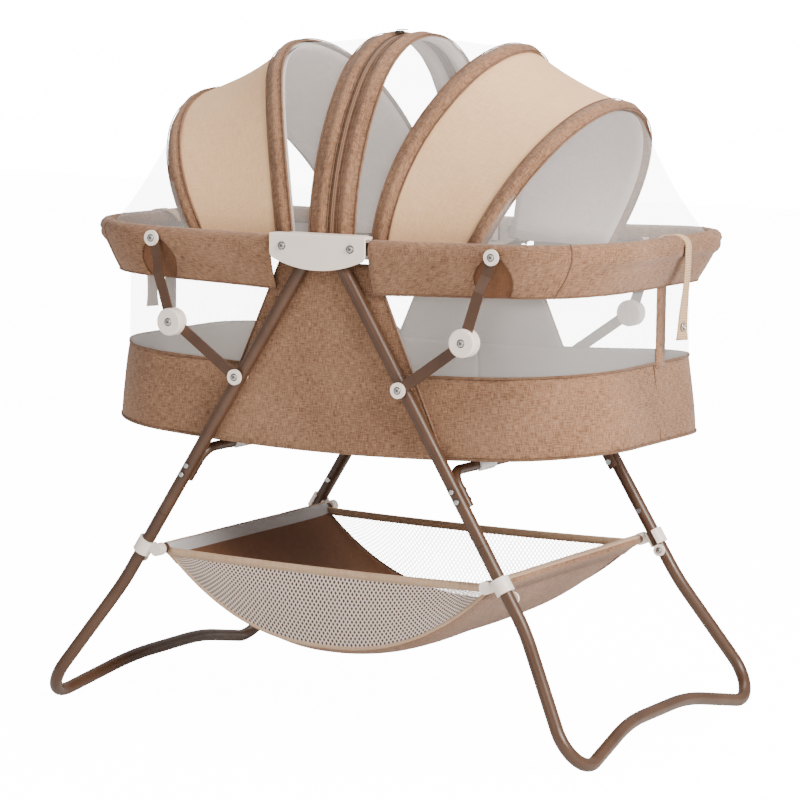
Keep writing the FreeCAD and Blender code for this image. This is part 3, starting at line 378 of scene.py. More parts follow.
def for_side(rows, sx):
    """The rows as they are for the right side, mirrored for the left."""
    if sx > 0:
        return rows
    return [[Vector((-p.x, p.y, p.z)) for p in reversed(row)] for row in rows]


def line_for_side(line, sx):
    """Points and directions of a line that is given as pairs on the right side."""
    return ([Vector((sx * p.x, p.y, p.z)) for p, _ in line],
            [Vector((sx * n.x, n.y, n.z)) for _, n in line])


def settle(made):
    """Applies the modifiers, so that the mesh is final."""
    bpy.context.view_layer.update()
    source = made.evaluated_get(bpy.context.evaluated_depsgraph_get())
    mesh = bpy.data.meshes.new_from_object(source)
    made.modifiers.clear()
    made.data = mesh


def ripple(point, size, scale, seed):
    """A small smooth push, always the same for the same point."""
    where = Vector((point.x * scale + seed, point.y * scale, point.z * scale))
    return size * noise.noise(where)


def lerp(a, b, t):
    return a + (b - a) * t


def steps(low, high, count):
    return [lerp(low, high, i / count) for i in range(count + 1)]


def half_ring(half_x, half_y, radius, s):
    """Point and outward direction at distance s round the right half of a rounded rectangle,
    from the middle of the front to the middle of the back."""
    flat_x = half_x - radius
    flat_y = half_y - radius
    arc = radius * math.pi / 2
    if s <= flat_x:
        return Vector((s, -half_y, 0)), Vector((0, -1, 0))
    s -= flat_x
    if s <= arc:
        angle = s / radius - math.pi / 2
        out = Vector((math.cos(angle), math.sin(angle), 0))
        return Vector((flat_x, -flat_y, 0)) + out * radius, out
    s -= arc
    if s <= 2 * flat_y:
        return Vector((half_x, s - flat_y, 0)), Vector((1, 0, 0))
    s -= 2 * flat_y
    if s <= arc:
        angle = s / radius
        out = Vector((math.cos(angle), math.sin(angle), 0))
        return Vector((flat_x, flat_y, 0)) + out * radius, out
    s -= arc
    return Vector((flat_x - s, half_y, 0)), Vector((0, 1, 0))


def half_ring_length(half_x, half_y, radius):
    return 2 * (half_x - radius) + 2 * (half_y - radius) + math.pi * radius


def lifted(amount, x, half_x, power=2.0):
    return amount * min(abs(x) / half_x, 1.0) ** power


def tape(name, points, normals, width, look, rise=0.0006, thick=0.0008):
    """Narrow strip along points on a surface: binding, seam or tape."""
    rows = [[], []]
    for k, p in enumerate(points):
        ahead = points[min(k + 1, len(points) - 1)] - points[max(k - 1, 0)]
        across = ahead.cross(normals[k]).normalized() * width / 2
        lift = normals[k] * rise
        rows[0].append(p + across + lift)
        rows[1].append(p - across + lift)
    middle = [(a + b) / 2 + normals[k] * thick * 0.4 for k, (a, b) in enumerate(zip(*rows))]
    return lattice(name, [rows[0], middle, rows[1]], look, thick=thick)


# Tub

def panel_edge(z):
    return lerp(PANEL_TOP_HALF, PANEL_LOW_HALF, (WINDOW_TOP - z) / (WINDOW_TOP - TUB_LOW))


def tub_point(s_share, t, inset=0.0, start=0.0):
    """Point on the tub's wall; t is 0 at the lower edge, 1 at the band's top, more above it."""
    flare = TUB_FLARE * max(1.0 - t, 0.0)
    half_x = TUB_HALF_X + flare - inset
    half_y = TUB_HALF_Y - inset
    radius = TUB_CORNER - inset
    length = half_ring_length(half_x, half_y, radius)
    s = lerp(start, length - start, s_share)
    p, out = half_ring(half_x, half_y, radius, s)
    low = TUB_LOW + lifted(TUB_LOW_LIFT, p.x, half_x)
    high = BAND_TOP + lifted(BAND_TOP_LIFT, p.x, half_x)
    top = WINDOW_TOP + lifted(RIM_LIFT, p.x, half_x)
    z = lerp(low, high, t) if t <= 1.0 else lerp(high, top, t - 1.0)
    return Vector((p.x, p.y, z)), out


def band_rows(inset, low_t):
    rows = []
    for t in steps(low_t, 1.0, 16):
        row = []
        for share in steps(0.0, 1.0, 120):
            p, out = tub_point(share, t, inset)
            belly = 0.0016 * math.sin(math.pi * t)
            row.append(p + out * (belly + ripple(p, 0.0012, 16.0, 3.0)))
        rows.append(row)
    return rows


def fold_with_stand(made):
    """A soft piece between the halves rides on the tub and brackets, with a mesh of its own."""
    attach(made, "tub_and_brackets")
    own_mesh(made)


def on_tub(made):
    settle(made)
    fold_with_stand(made)
    return made


LINING_IN = 0.0030           # from the band's outside to the lining
LINING_LOW = 0.04            # the lining starts this share up the band
PIPING_RISE = 0.0012
PANEL_OUT = 0.0030           # the middle panels lie over the band
LINING_LAP = 0.012           # a panel's lining reaches this far below the band's top

for side, sx in SIDES:
    rows = for_side(band_rows(0.0, 0.0), sx)
    on_tub(lattice(f"{side}_tub_band", rows, LINEN, thick=0.0016, away=INSIDE))
    rows = for_side(band_rows(LINING_IN, LINING_LOW), sx)
    on_tub(lattice(f"{side}_tub_lining", rows, LINING, thick=0.0006, away=INSIDE))

for side, sx in SIDES:
    for name, t, lift, width in (("band_piping", 1.0, 0.0, 0.0032),
                                 ("tub_lower_piping", 0.0, PIPING_RISE, 0.0030)):
        edge = [tub_point(share, t) for share in steps(0.0, 1.0, 120)]
        points, normals = line_for_side([(p + UP * lift, n) for p, n in edge], sx)
        on_tub(tape(f"{side}_{name}", points, normals, width, LINEN_EDGE, rise=PIPING_RISE))

for face, sy in FACES:
    rows = []
    lining_rows = []
    for z in steps(TUB_LOW, PANEL_TOP, 26):
        row = []
        lining_row = []
        for share in steps(-1.0, 1.0, 40):
            x = panel_edge(z) * share
            low = TUB_LOW + lifted(TUB_LOW_LIFT, x, TUB_HALF_X)
            height = lerp(low, PANEL_TOP, (z - TUB_LOW) / (PANEL_TOP - TUB_LOW))
            p = Vector((x, sy * (TUB_HALF_Y + PANEL_OUT), height))
            belly = 0.0012 * (1 - share * share)
            row.append(p + Vector((0, sy * (belly + ripple(p, 0.0010, 14.0, 9.0)), 0)))
            lining_row.append(Vector((x * 0.99, sy * (TUB_HALF_Y - 0.0012), height)))
        rows.append(row if sy < 0 else row[::-1])
        lining_rows.append(lining_row if sy < 0 else lining_row[::-1])
    on_tub(lattice(f"{face}_middle_panel", rows, LINEN, thick=0.0016, away=INSIDE))
    upper = [row for row in lining_rows if row[0].z > BAND_TOP - LINING_LAP]
    on_tub(lattice(f"{face}_panel_lining", upper, LINING, thick=0.0006))
    for side, sx in SIDES:
        points = [Vector((sx * (panel_edge(z) - 0.001), sy * (TUB_HALF_Y + PANEL_OUT),
                          z + lifted(TUB_LOW_LIFT, panel_edge(z), TUB_HALF_X)
                          * (PANEL_TOP - z) / (PANEL_TOP - TUB_LOW)))
                  for z in steps(TUB_LOW, PANEL_TOP, 24)]
        on_tub(tape(f"{face}_{side}_panel_seam", points, [Vector((0, sy, 0))] * len(points),
                    0.0024, LINEN_EDGE))

for side, sx in SIDES:
    rows = []
    for t in steps(0.97, 2.0, 20):
        z = lerp(BAND_TOP, WINDOW_TOP, t - 1.0)
        row = [tub_point(share, t, inset=0.0006, start=panel_edge(z) - 0.003)
               for share in steps(0.0, 1.0, 110)]
        rows.append([p + out * ripple(p, 0.0010, 12.0, 5.0) for p, out in row])
    rows = for_side(rows, sx)
    window = on_tub(lattice(f"{side}_window_net", rows, WINDOW_NET))
    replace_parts(window, f"{side}_mesh_window")
    points = [Vector((sx * (tub_point(0.5, t)[0].x + 0.0006), 0.0, tub_point(0.5, t)[0].z))
              for t in steps(0.0, 2.0, 30)]
    out = [Vector((sx, 0, 0))] * len(points)
    on_tub(tape(f"{side}_end_seam", points[:16], out[:16], 0.0016, LINEN_EDGE, rise=0.0008))
    points = [p + Vector((0, sx * END_STRIP_Y, 0)) for p in points[14:]]
    on_tub(tape(f"{side}_end_strip", points, out[14:], END_STRIP, LINEN, thick=0.0014))

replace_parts(bpy.data.objects["right_tub_band"], "tub_fabric")


def tub_slab_rows(z, inset):
    """Lines across the tub from its left end to its right, for a floor or a bottom cloth."""
    rows = []
    for share in steps(-1.0, 1.0, 48):
        row = []
        for across in steps(-1.0, 1.0, 24):
            half_x = TUB_HALF_X + TUB_FLARE - inset
            half_y = TUB_HALF_Y - inset
            x = half_x * share
            corner = max(abs(x) - (half_x - TUB_CORNER), 0.0) / TUB_CORNER
            reach = half_y - TUB_CORNER * (1 - math.sqrt(max(1 - corner * corner, 0.0)))
            y = reach * across
            row.append(Vector((x, y, z + lifted(TUB_LOW_LIFT, x, half_x))))
        rows.append(row)
    return rows


BOTTOM_CLOTH = 0.0008
BOARD_TOP = 0.0056           # above the tub's lower edge
BOARD_IN = 0.0040

rows = tub_slab_rows(TUB_LOW + BOTTOM_CLOTH, BOTTOM_CLOTH)
# The cloth under the tub is in the darker linen: painted shade beneath the tub.
under = lattice("tub_bottom_cloth", rows, LINEN_SHADED, thick=BOTTOM_CLOTH)
on_tub(under)
rows = tub_slab_rows(TUB_LOW + BOARD_TOP, BOARD_IN)
board = lattice("floor_board", rows, BOARD, thick=0.0036)
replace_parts(on_tub(board), "tub_floor_board")


# Mattress pad

PAD_LOW = 0.3474
PAD_DEPTH = 0.024
PAD_PLAN = (0.3405, 0.1800, 0.098)   # half length, half width, corner radius
PAD_GRID = 0.006
PAD_PUFF = 0.003             # the filling lifts the cover by at most this
PAD_PULL = 0.0004            # and draws it in by at most this
FILL_FRAMES = 20


def pad_mesh():
    """Two faces and a side wall, rounded at the edge, ready to be filled."""
    length = half_ring_length(*PAD_PLAN)
    ring = [half_ring(*PAD_PLAN, s)[0] for s in steps(0.0, length, 90)]
    ring += [Vector((-p.x, p.y, 0)) for p in reversed(ring[1:-1])]
    mesh = bpy.data.meshes.new("mattress_pad_cover")
    verts = []
    for z, shrink in ((0.0, 0.985), (0.35, 1.0), (0.65, 1.0), (1.0, 0.985)):
        for p in ring:
            lift = lifted(TUB_LOW_LIFT, p.x, PAD_PLAN[0])
            verts.append((p.x * shrink, p.y * shrink, PAD_LOW + PAD_DEPTH * z + lift))
    n = len(ring)
    faces = []
    for level in range(3):
        for k in range(n):
            m = (k + 1) % n
            faces.append((level * n + k, level * n + m, (level + 1) * n + m, (level + 1) * n + k))
    faces.append(tuple(reversed(range(n))))
    faces.append(tuple(range(3 * n, 4 * n)))
    mesh.from_pydata(verts, [], faces)
    return placed("mattress_pad_cover", mesh)


def fill_pad(made):
    """Inflates the cover a little, so that it puffs up like a filled pad."""
    remesh = made.modifiers.new("even", "REMESH")
    remesh.mode = "VOXEL"
    remesh.voxel_size = PAD_GRID
    settle(made)
    start = [v.co.copy() for v in made.data.vertices]
    cloth = made.modifiers.new("fill", "CLOTH")
    cloth.settings.use_pressure = True
    cloth.settings.uniform_pressure_force = 4.0
    cloth.settings.effector_weights.gravity = 0.0
    cloth.point_cache.frame_start = 1
    cloth.point_cache.frame_end = FILL_FRAMES
    for number in range(1, FILL_FRAMES + 1):
        bpy.context.scene.frame_set(number)
    settle(made)
    bpy.context.scene.frame_set(1)
    for v, old in zip(made.data.vertices, start):
        move = v.co - old
        limit = PAD_PUFF if old.z < v.co.z else PAD_PULL
        if move.length > limit:
            v.co = old + move * (limit / move.length)
    smooth = made.modifiers.new("rounded", "SUBSURF")
    smooth.levels = smooth.render_levels = 1
    settle(made)
    made.data.shade_smooth()
    made.data.materials.clear()
    made.data.materials.append(PAD)


pad = pad_mesh()
fill_pad(pad)
fold_with_stand(pad)
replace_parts(pad, "mattress_pad")


# Skirt over each rim half

SKIRT_START = 0.069
SKIRT_HEM = 0.5330
SKIRT_HEM_RISE = 0.0135       # the hem climbs towards the ends
BOLT_X = 0.2382
SKIRT_OVER = (               # from the inside of the tube over its top: offset, height
    (-0.0095, -0.0080), (-0.0115, -0.0010), (-0.0100, 0.0058), (-0.0060, 0.0098),
    (0.0, 0.0116), (0.0056, 0.0104), (0.0096, 0.0068), (0.0114, 0.0012))
SKIRT_DROPS = 14
SKIRT_HUG = 0.0099           # the cloth stays this far from the tube's centre
SKIRT_IN = (-0.0040, -0.0190)   # the hem stands this far inside the tube, at the sides and ends


def skirt_point(s, row, shift=0.0):
    """row counts down the skirt: over the tube first, then down to the hem."""
    p, out = half_ring(RIM_HALF_X, RIM_HALF_Y, RIM_CORNER, s)
    centre = Vector((p.x, p.y, RIM_Z + lifted(RIM_LIFT, p.x, RIM_HALF_X)))
    over = len(SKIRT_OVER)
    if row < over:
        offset, height = SKIRT_OVER[int(row)]
        drop = 0.0
    else:
        drop = (row - over + 1) / SKIRT_DROPS
        start, top = SKIRT_OVER[-1]
        inward = lerp(*SKIRT_IN, min(1.35 * out.x ** 2, 1.0))
        hem = SKIRT_HEM + SKIRT_HEM_RISE * (abs(p.x) / RIM_HALF_X) ** 0.8 - centre.z
        bulge = 0.0022 * math.sin(math.pi * drop) * (1 - 0.6 * out.x ** 2)
        height = lerp(top, hem, drop)
        above = centre.z + height - RIM_Z
        offset = lerp(start, inward, drop) + bulge
        if abs(above) < SKIRT_HUG:
            offset = max(offset, math.sqrt(SKIRT_HUG ** 2 - above ** 2))
    q = centre + out * (offset + shift) + Vector((0, 0, height))
    wave = 0.0016 * drop * math.sin(s * 41.0) * (0.4 + 0.6 * abs(math.sin(s * 7.3)))
    return q + out * (wave + ripple(q, 0.0012, 26.0, 1.0)), out


SKIRT_LENGTH = half_ring_length(RIM_HALF_X, RIM_HALF_Y, RIM_CORNER)
SLOT_FIRST = len(SKIRT_OVER)
SKIRT_ROWS = SLOT_FIRST + SKIRT_DROPS
SLOT_WIDEST = 0.6            # share of the drop at which the opening is widest
SLOT_HALVES = {True: (0.030, 0.024), False: (0.022, 0.014)}   # inboard or not: widest, at the hem
SLOT_REACH = 0.05            # the cloth gives way this far from the bolt
FLAP_LOW = BOLT_X - 0.040    # the cloth behind an opening, darkened as painted shade of the opening's inside
FLAP_HIGH = BOLT_X + 0.034
FLAP_BEHIND = -0.0028
SEAM_S = 0.322               # where the corner seams start, along the rim


def skirt_side(s, flip):
    """The same place along the rim, counted from the back if flipped."""
    return SKIRT_LENGTH - s if flip else s


def slot_half(drop, inboard):
    """Half width of the opening for the brace: a leaf, widest below its middle."""
    widest, hem = SLOT_HALVES[inboard]
    if drop < SLOT_WIDEST:
        return widest * math.sin(math.pi / 2 * max(drop, 0.0) / SLOT_WIDEST) ** 0.8
    return lerp(widest, hem, ((drop - SLOT_WIDEST) / (1 - SLOT_WIDEST)) ** 2)


def skirt_rows():
    columns = steps(SKIRT_START, BOLT_X, 22)
    middle = steps(BOLT_X, SKIRT_LENGTH - BOLT_X, 110)
    last = steps(SKIRT_LENGTH - BOLT_X, SKIRT_LENGTH - SKIRT_START, 22)
    bases = columns + middle + last
    cuts = (len(columns) - 1, len(columns) + len(middle) - 1)
    rows = []
    for row in range(SKIRT_ROWS):
        drop = max(row - SLOT_FIRST + 1, 0) / SKIRT_DROPS
        line = []
        for j, s in enumerate(bases):
            push = 0.0
            for centre, inner_low, last_low in ((BOLT_X, True, cuts[0]),
                                                (SKIRT_LENGTH - BOLT_X, False, cuts[1])):
                low_side = j <= last_low
                fade = max(1.0 - abs(s - centre) / SLOT_REACH, 0.0)
                half = slot_half(drop, inner_low == low_side)
                push += (-half if low_side else half) * fade ** 1.5
            line.append(skirt_point(s + push, row)[0])
        rows.append(line)
    return rows, cuts


skirt, cuts = skirt_rows()
skirt.reverse()


def skirt_gap(i, j):
    """The cells between the two edges of each opening."""
    level = len(skirt) - 2 - i
    return level >= SLOT_FIRST - 1 and j in cuts


def on_rim(made, side):
    """The skirt rides on its rim half, with a mesh of its own."""
    settle(made)
    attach(made, f"{side}_rim_half")
    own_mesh(made)
    return made


for side, sx in SIDES:
    rows = for_side(skirt, sx)
    last = len(rows[0]) - 2
    gap = skirt_gap if sx > 0 else (lambda i, j, last=last: skirt_gap(i, last - j))
    made = lattice(f"{side}_skirt", rows, LINEN, thick=0.0018, gap=gap, away=INSIDE)
    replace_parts(on_rim(made, side), f"{side}_valance")
    inboard = BOLT_X - slot_half(1.0, True)
    outboard = BOLT_X + slot_half(1.0, False)
    hems = ((SKIRT_START, inboard), (outboard, SKIRT_LENGTH - outboard),
            (SKIRT_LENGTH - inboard, SKIRT_LENGTH - SKIRT_START))
    for number, (first, final) in enumerate(hems):
        line = [skirt_point(s, SKIRT_ROWS - 1.4) for s in steps(first, final, 60)]
        points, normals = line_for_side(line, sx)
        on_rim(tape(f"{side}_skirt_hem_{number}", points, normals, 0.0022, LINEN_EDGE), side)
    for face, flip in (("front", False), ("back", True)):
        rows = [[skirt_point(skirt_side(s, flip), row, FLAP_BEHIND)[0]
                 for s in steps(FLAP_LOW, FLAP_HIGH, 12)] for row in range(SLOT_FIRST - 1, SKIRT_ROWS)]
        rows = for_side(rows, sx)
        # The flap is in the darker linen: painted shade inside the opening.
        flap = lattice(f"{side}_{face}_slot_flap", rows, LINEN_SHADED, thick=0.0006, away=INSIDE)
        on_rim(flap, side)
        line = []
        for row in range(3, SKIRT_ROWS):
            share = row / SKIRT_ROWS
            s = SEAM_S + 0.012 * math.sin(math.pi * share) - 0.016 * share
            p, out = skirt_point(skirt_side(s, flip), row)
            line.append((p, (out + UP * 0.3).normalized()))
        points, normals = line_for_side(line, sx)
        on_rim(tape(f"{side}_{face}_corner_seam", points, normals, 0.0018, LINEN_EDGE), side)


# Canopy

CLOTH_LOW = -0.014           # sleeves and cloth reach this far below the hoops' feet
HOOP_STEPS = 72


def arch(half, height):
    """Points (y, h) along an arch of two side arcs and a crown arc, with outward directions."""
    crown = ((HOOP_SIDE_R ** 2 - (HOOP_SIDE_R - half) ** 2 - height ** 2)
             / (2 * (HOOP_SIDE_R - height)))
    side_c = (HOOP_SIDE_R - half, 0.0)
    crown_c = (0.0, height - crown)
    meet = math.atan2(crown_c[1], side_c[0])
    side_arc = HOOP_SIDE_R * meet
    crown_arc = crown * (math.pi / 2 - meet)
    total = side_arc + crown_arc
    points = []
    for share in steps(-1.0, 1.0, HOOP_STEPS):
        run = (1 - abs(share)) * total
        sign = -1.0 if share < 0 else 1.0
        if run <= side_arc:
            angle = run / HOOP_SIDE_R
            y = side_c[0] - HOOP_SIDE_R * math.cos(angle)
            h = HOOP_SIDE_R * math.sin(angle)
        else:
            angle = meet + (run - side_arc) / crown
            y = crown_c[0] - crown * math.cos(angle)
            h = crown_c[1] + crown * math.sin(angle)
        points.append((-sign * y, h, sign * math.cos(angle), math.sin(angle)))
    return points


def hoop_points(name, offset, aside=0.0, low=CLOTH_LOW):
    """Points and outward directions over a hoop's rod; aside moves across the hoop's plane."""
    foot_x, height, lean, bow = HOOPS[name]
    angle = math.radians(lean)
    along = Vector((math.sin(angle), 0, math.cos(angle)))
    across = Vector((math.cos(angle), 0, -math.sin(angle)))
    foot = Vector((foot_x, 0, RIM_Z))
    made = []
    for y, h, ny, nh in arch(HOOP_HALF, height):
        share = h / height
        back = 4 * bow * share * (1 - share)
        out = Vector((0, ny, 0)) + along * nh
        rise = h if share > 0.001 else low
        base = foot + Vector((0, y, 0)) + along * rise + across * (aside - back)
        made.append((base + out * offset, out))
    return made


SLEEVES = {                  # edges of the sleeve each side of its rod
    "centre": (-0.0105, 0.0165),
    "inner": (-0.0125, 0.0125),
    "end": (-0.0110, 0.0120),
}
# The centre sleeves' under side uses the lighter canopy lining, which carries painted light.
UNDER_SLEEVES = {"centre": LIT_CANOPY_LINING, "end": LINEN}
UNDER_GAP = 0.0014           # from a rod to the cloth under it
NET_IN = 0.010               # the end netting is sewn this far inside the rim's centre line


def sleeve_rows(name):
    """The sleeve's outer half, domed over the rod and flat beside it."""
    low, high = SLEEVES[name]
    profile = [(low, 0.0018), (low + 0.002, 0.0034), (-0.0062, 0.0038), (-0.0044, 0.0052),
               (-0.0022, 0.0066), (0.0, 0.0071), (0.0022, 0.0066), (0.0044, 0.0052),
               (0.0062, 0.0038), (high - 0.002, 0.0034), (high, 0.0018)]
    rows = []
    for aside, offset in profile:
        line = hoop_points(name, offset, aside)
        rows.append([p + out * ripple(p, 0.0008, 45.0, 2.0) for p, out in line])
    return rows


def inner_sleeve_rows(name):
    """The sleeve's inner half, drawn under the rod."""
    low, high = SLEEVES[name]
    under = HOOP_R + UNDER_GAP
    profile = [(low * 0.92, 0.0012), (-0.0058, -0.0016), (-0.0036, 0.0006 - under), (0.0, -under),
               (0.0036, 0.0006 - under), (0.0058, -0.0016), (high * 0.92, 0.0012)]
    return [[p for p, _ in hoop_points(name, offset, aside)] for aside, offset in profile]


def on_hoop(made, side, name):
    settle(made)
    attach(made, f"{side}_{name}_hoop_body")


for side, sx in SIDES:
    for name in HOOPS:
        rows = for_side(sleeve_rows(name), sx)
        sleeve = lattice(f"{side}_{name}_sleeve", rows, LINEN, thick=0.0014, away=INSIDE)
        on_hoop(sleeve, side, name)
        if name in UNDER_SLEEVES:
            rows = for_side(inner_sleeve_rows(name), sx)
            inner = lattice(f"{side}_{name}_inner_sleeve", rows, UNDER_SLEEVES[name], thick=0.0006)
            on_hoop(inner, side, name)
        for edge, place in (("low", 0), ("high", -1)):
            line = hoop_points(name, 0.0036, SLEEVES[name][place] * 0.93)
            points, normals = line_for_side(line, sx)
            on_hoop(tape(f"{side}_{name}_sleeve_{edge}_seam", points, normals, 0.0018, LINEN_EDGE),
                    side, name)


def between(first, second, asides=(0.0, 0.0), sag=0.006, offset=0.0032):
    """Cloth stretched between two hoops, a little drawn in between them."""
    a = hoop_points(first, offset, asides[0])
    b = hoop_points(second, offset, asides[1])
    rows = []
    for t in steps(0.0, 1.0, 14):
        row = []
        for k, ((p, pn), (q, qn)) in enumerate(zip(a, b)):
            crown = math.sin(math.pi * k / HOOP_STEPS)
            out = (pn + qn).normalized()
            dip = -sag * 4 * t * (1 - t) * (0.35 + 0.65 * crown)
            point = p.lerp(q, t)
            row.append(point + out * (dip + ripple(point, 0.0010, 18.0, 7.0)))
        rows.append(row)
    return rows


def end_net_rows():
    """Netting from the end hoop down to the rim's inner edge, all round the end."""
    a = hoop_points("end", 0.0032, low=0.004)
    plan = (RIM_HALF_X - NET_IN, RIM_HALF_Y - NET_IN, RIM_CORNER - NET_IN)
    length = half_ring_length(*plan)
    start = HOOPS["end"][0] + 0.004
    rows = []
    for t in steps(0.0, 1.0, 16):
        row = []
        for k, (p, out) in enumerate(a):
            q, _ = half_ring(*plan, lerp(start, length - start, k / HOOP_STEPS))
            q = Vector((q.x, q.y, RIM_Z + 0.009 + lifted(RIM_LIFT, q.x, RIM_HALF_X)))
            crown = math.sin(math.pi * k / HOOP_STEPS)
            point = p.lerp(q, t)
            dip = -0.010 * 4 * t * (1 - t) * crown
            row.append(point + Vector((0, 0, dip)) + out * ripple(point, 0.0012, 16.0, 4.0))
        rows.append(row)
    return rows


def on_canopy(made, side):
    """Cloth between the hoops rides on its rim half, with a mesh of its own."""
    settle(made)
    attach(made, f"{side}_rim_half")
    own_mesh(made)


LINING_ASIDE = (-0.0110, 0.0050)   # the lining reaches past the inner and end rods
LINING_UNDER = -0.0052             # and runs under them

for side, sx in SIDES:
    # The shade's inner face and the lining under the rods use the lighter canopy lining: painted light
    # through the cloth.
    rows = for_side(between("inner", "end"), sx)
    shade = lattice(f"{side}_shade_cloth", rows, TAN, thick=0.0010, lining=LIT_CANOPY_LINING,
                    away=INSIDE)
    on_canopy(shade, side)
    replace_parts(shade, f"{side}_canopy_shade")
    rows = for_side(between("inner", "end", LINING_ASIDE, offset=LINING_UNDER), sx)
    lining = lattice(f"{side}_shade_lining", rows, LIT_CANOPY_LINING, thick=0.0006)
    on_canopy(lining, side)
    rows = for_side(between("centre", "inner", sag=0.003), sx)
    net = lattice(f"{side}_middle_net", rows, NET)
    on_canopy(net, side)
    rows = for_side(end_net_rows(), sx)
    end_net = lattice(f"{side}_end_net", rows, NET)
    on_canopy(end_net, side)
    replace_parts(end_net, f"{side}_canopy_net")

for side, sx in SIDES:
    for name, low, high, look, offset in (("zipper_tape", -0.0163, -0.0098, LINEN_EDGE, 0.0030),
                                          ("zipper_teeth", -0.0165, -0.0142, TEETH, 0.0042)):
        rows = [[p for p, _ in hoop_points("centre", offset, aside)] for aside in steps(low, high, 2)]
        made = lattice(f"{side}_{name}", for_side(rows, sx), look, thick=0.0012, away=INSIDE)
        on_hoop(made, side, "centre")


# Zipper slider and pull

def shaped(name, outline, z_low, z_high, look, bevel):
    """A flat outline of (x, y) points given a height and rounded edges."""
    n = len(outline)
    verts = [(x, y, z) for z in (z_low, z_high) for x, y in outline]
    faces = [tuple(reversed(range(n))), tuple(range(n, 2 * n))]
    for k in range(n):
        m = (k + 1) % n
        faces.append((k, m, n + m, n + k))
    mesh = bpy.data.meshes.new(name)
    mesh.from_pydata(verts, [], faces)
    mesh.materials.append(look)
    made = placed(name, mesh)
    edge = made.modifiers.new("edge", "BEVEL")
    edge.width = bevel
    edge.segments = 3
    settle(made)
    made.data.shade_smooth()
    return made


SLIDER_Y = -0.024
SLIDER_LOW = 0.8445
SLIDER_TOP = 0.8485
SLIDER_OUTLINE = ((-0.0044, -0.0048), (-0.0030, 0.006), (0.0030, 0.006), (0.0044, -0.0048),
                  (0.0024, -0.006), (-0.0024, -0.006))
PULL_END = -0.006            # the pull lies back over the crown to here
PULL_OUTLINE = ((-0.0016, -0.0238), (-0.0024, -0.014), (-0.0030, -0.004), (-0.0022, -0.0010),
                (0.0, 0.0), (0.0022, -0.0010), (0.0030, -0.004), (0.0024, -0.014),
                (0.0016, -0.0238))

slider = shaped("zipper_slider_body", [(x, y + SLIDER_Y) for x, y in SLIDER_OUTLINE],
                SLIDER_LOW, SLIDER_TOP, BLACKENED, 0.0008)
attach(slider, "left_centre_hoop_body")
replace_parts(slider, "zipper_slider")
pull = shaped("zipper_pull_tab", [(x, y + PULL_END) for x, y in PULL_OUTLINE],
              SLIDER_TOP + 0.0004, SLIDER_TOP + 0.0018, BLACKENED, 0.0004)
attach(pull, "zipper_pull_body")
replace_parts(pull, "zipper_pull")


# Basket

BASKET_BULGE = 0.006         # the side nets stand out by this much
BAR_Z = 0.202
HEM_R = 0.0064
HEM_DROP = 0.012
BASKET_END = [BASKET_Y * share for share in steps(-1.0, 1.0, 30)]


def basket_z(x, y):
    """Height of the sling: seams at the front and back hang higher than the belly."""
    share = min(abs(x) / BASKET_X, 1.0)
    seam = BASKET_LOW + (BASKET_TOP - BASKET_LOW) * share ** 2.3
    across = 1 - min(abs(y) / BASKET_Y, 1.0) ** 8
    return seam - BASKET_BELLY * across * (1 - share ** 2)


def basket_bulge(x, z):
    share = min(abs(x) / BASKET_X, 1.0)
    bottom = basket_z(x, BASKET_Y)
    height = max(BASKET_TOP - bottom, 0.001)
    t = min(max((z - bottom) / height, 0.0), 1.0)
    return BASKET_BULGE * math.sin(math.pi * t) * (1 - share ** 2)


def on_basket(made):
    settle(made)
    fold_with_stand(made)


rows = []
for y in steps(-BASKET_Y, BASKET_Y, 60):
    row = []
    for share in steps(-1.0, 1.0, 64):
        x = BASKET_X * share
        p = Vector((x, y, basket_z(x, y)))
        row.append(p + UP * (ripple(p, 0.0022, 11.0, 6.0) * (1 - share * share)))
    rows.append(row)
# The sling's inner face is in the darker linen: painted shade inside the basket.
sling = lattice("basket_sling_cloth", rows, LINEN, thick=0.0012, lining=LINEN_SHADED,
                away=(0, 0, BASKET_TOP))
on_basket(sling)
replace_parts(sling, "basket_sling")

for face, sy in FACES:
    look, seam_look = (BASKET_NET, TAN_EDGE) if sy < 0 else (FAR_NET, LINEN_EDGE)
    rows = []
    for t in steps(0.0, 1.0, 16):
        row = []
        for share in steps(-1.0, 1.0, 64):
            x = (BASKET_X - 0.004) * share
            low = basket_z(x, BASKET_Y)
            z = lerp(low, BASKET_TOP - 0.004 - 0.003 * (1 - share * share), t)
            y = sy * (BASKET_Y + basket_bulge(x, z))
            row.append(Vector((x, y, z)))
        rows.append(row if sy < 0 else row[::-1])
    side_net = lattice(f"basket_{face}_net", rows, look)
    on_basket(side_net)
    if sy < 0:
        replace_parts(side_net, "basket_side_meshes")
    outward = [Vector((0, sy, 0))] * len(rows[0])
    on_basket(tape(f"basket_{face}_binding", rows[-1], outward, 0.0105, TAN_EDGE, rise=0.0009,
                   thick=0.0034))
    on_basket(tape(f"basket_{face}_seam", rows[0], outward, 0.0042, seam_look, rise=0.0008,
                   thick=0.0016))


def hem_line(angle, radius):
    """A line along the end bar, on the hem wrapped round it."""
    a = math.radians(angle)
    x = BASKET_X + radius * math.cos(a)
    z = BAR_Z + radius * math.sin(a)
    return [Vector((x, y, z + ripple(Vector((x, y, z)), 0.0006, 30.0, 8.0))) for y in BASKET_END]


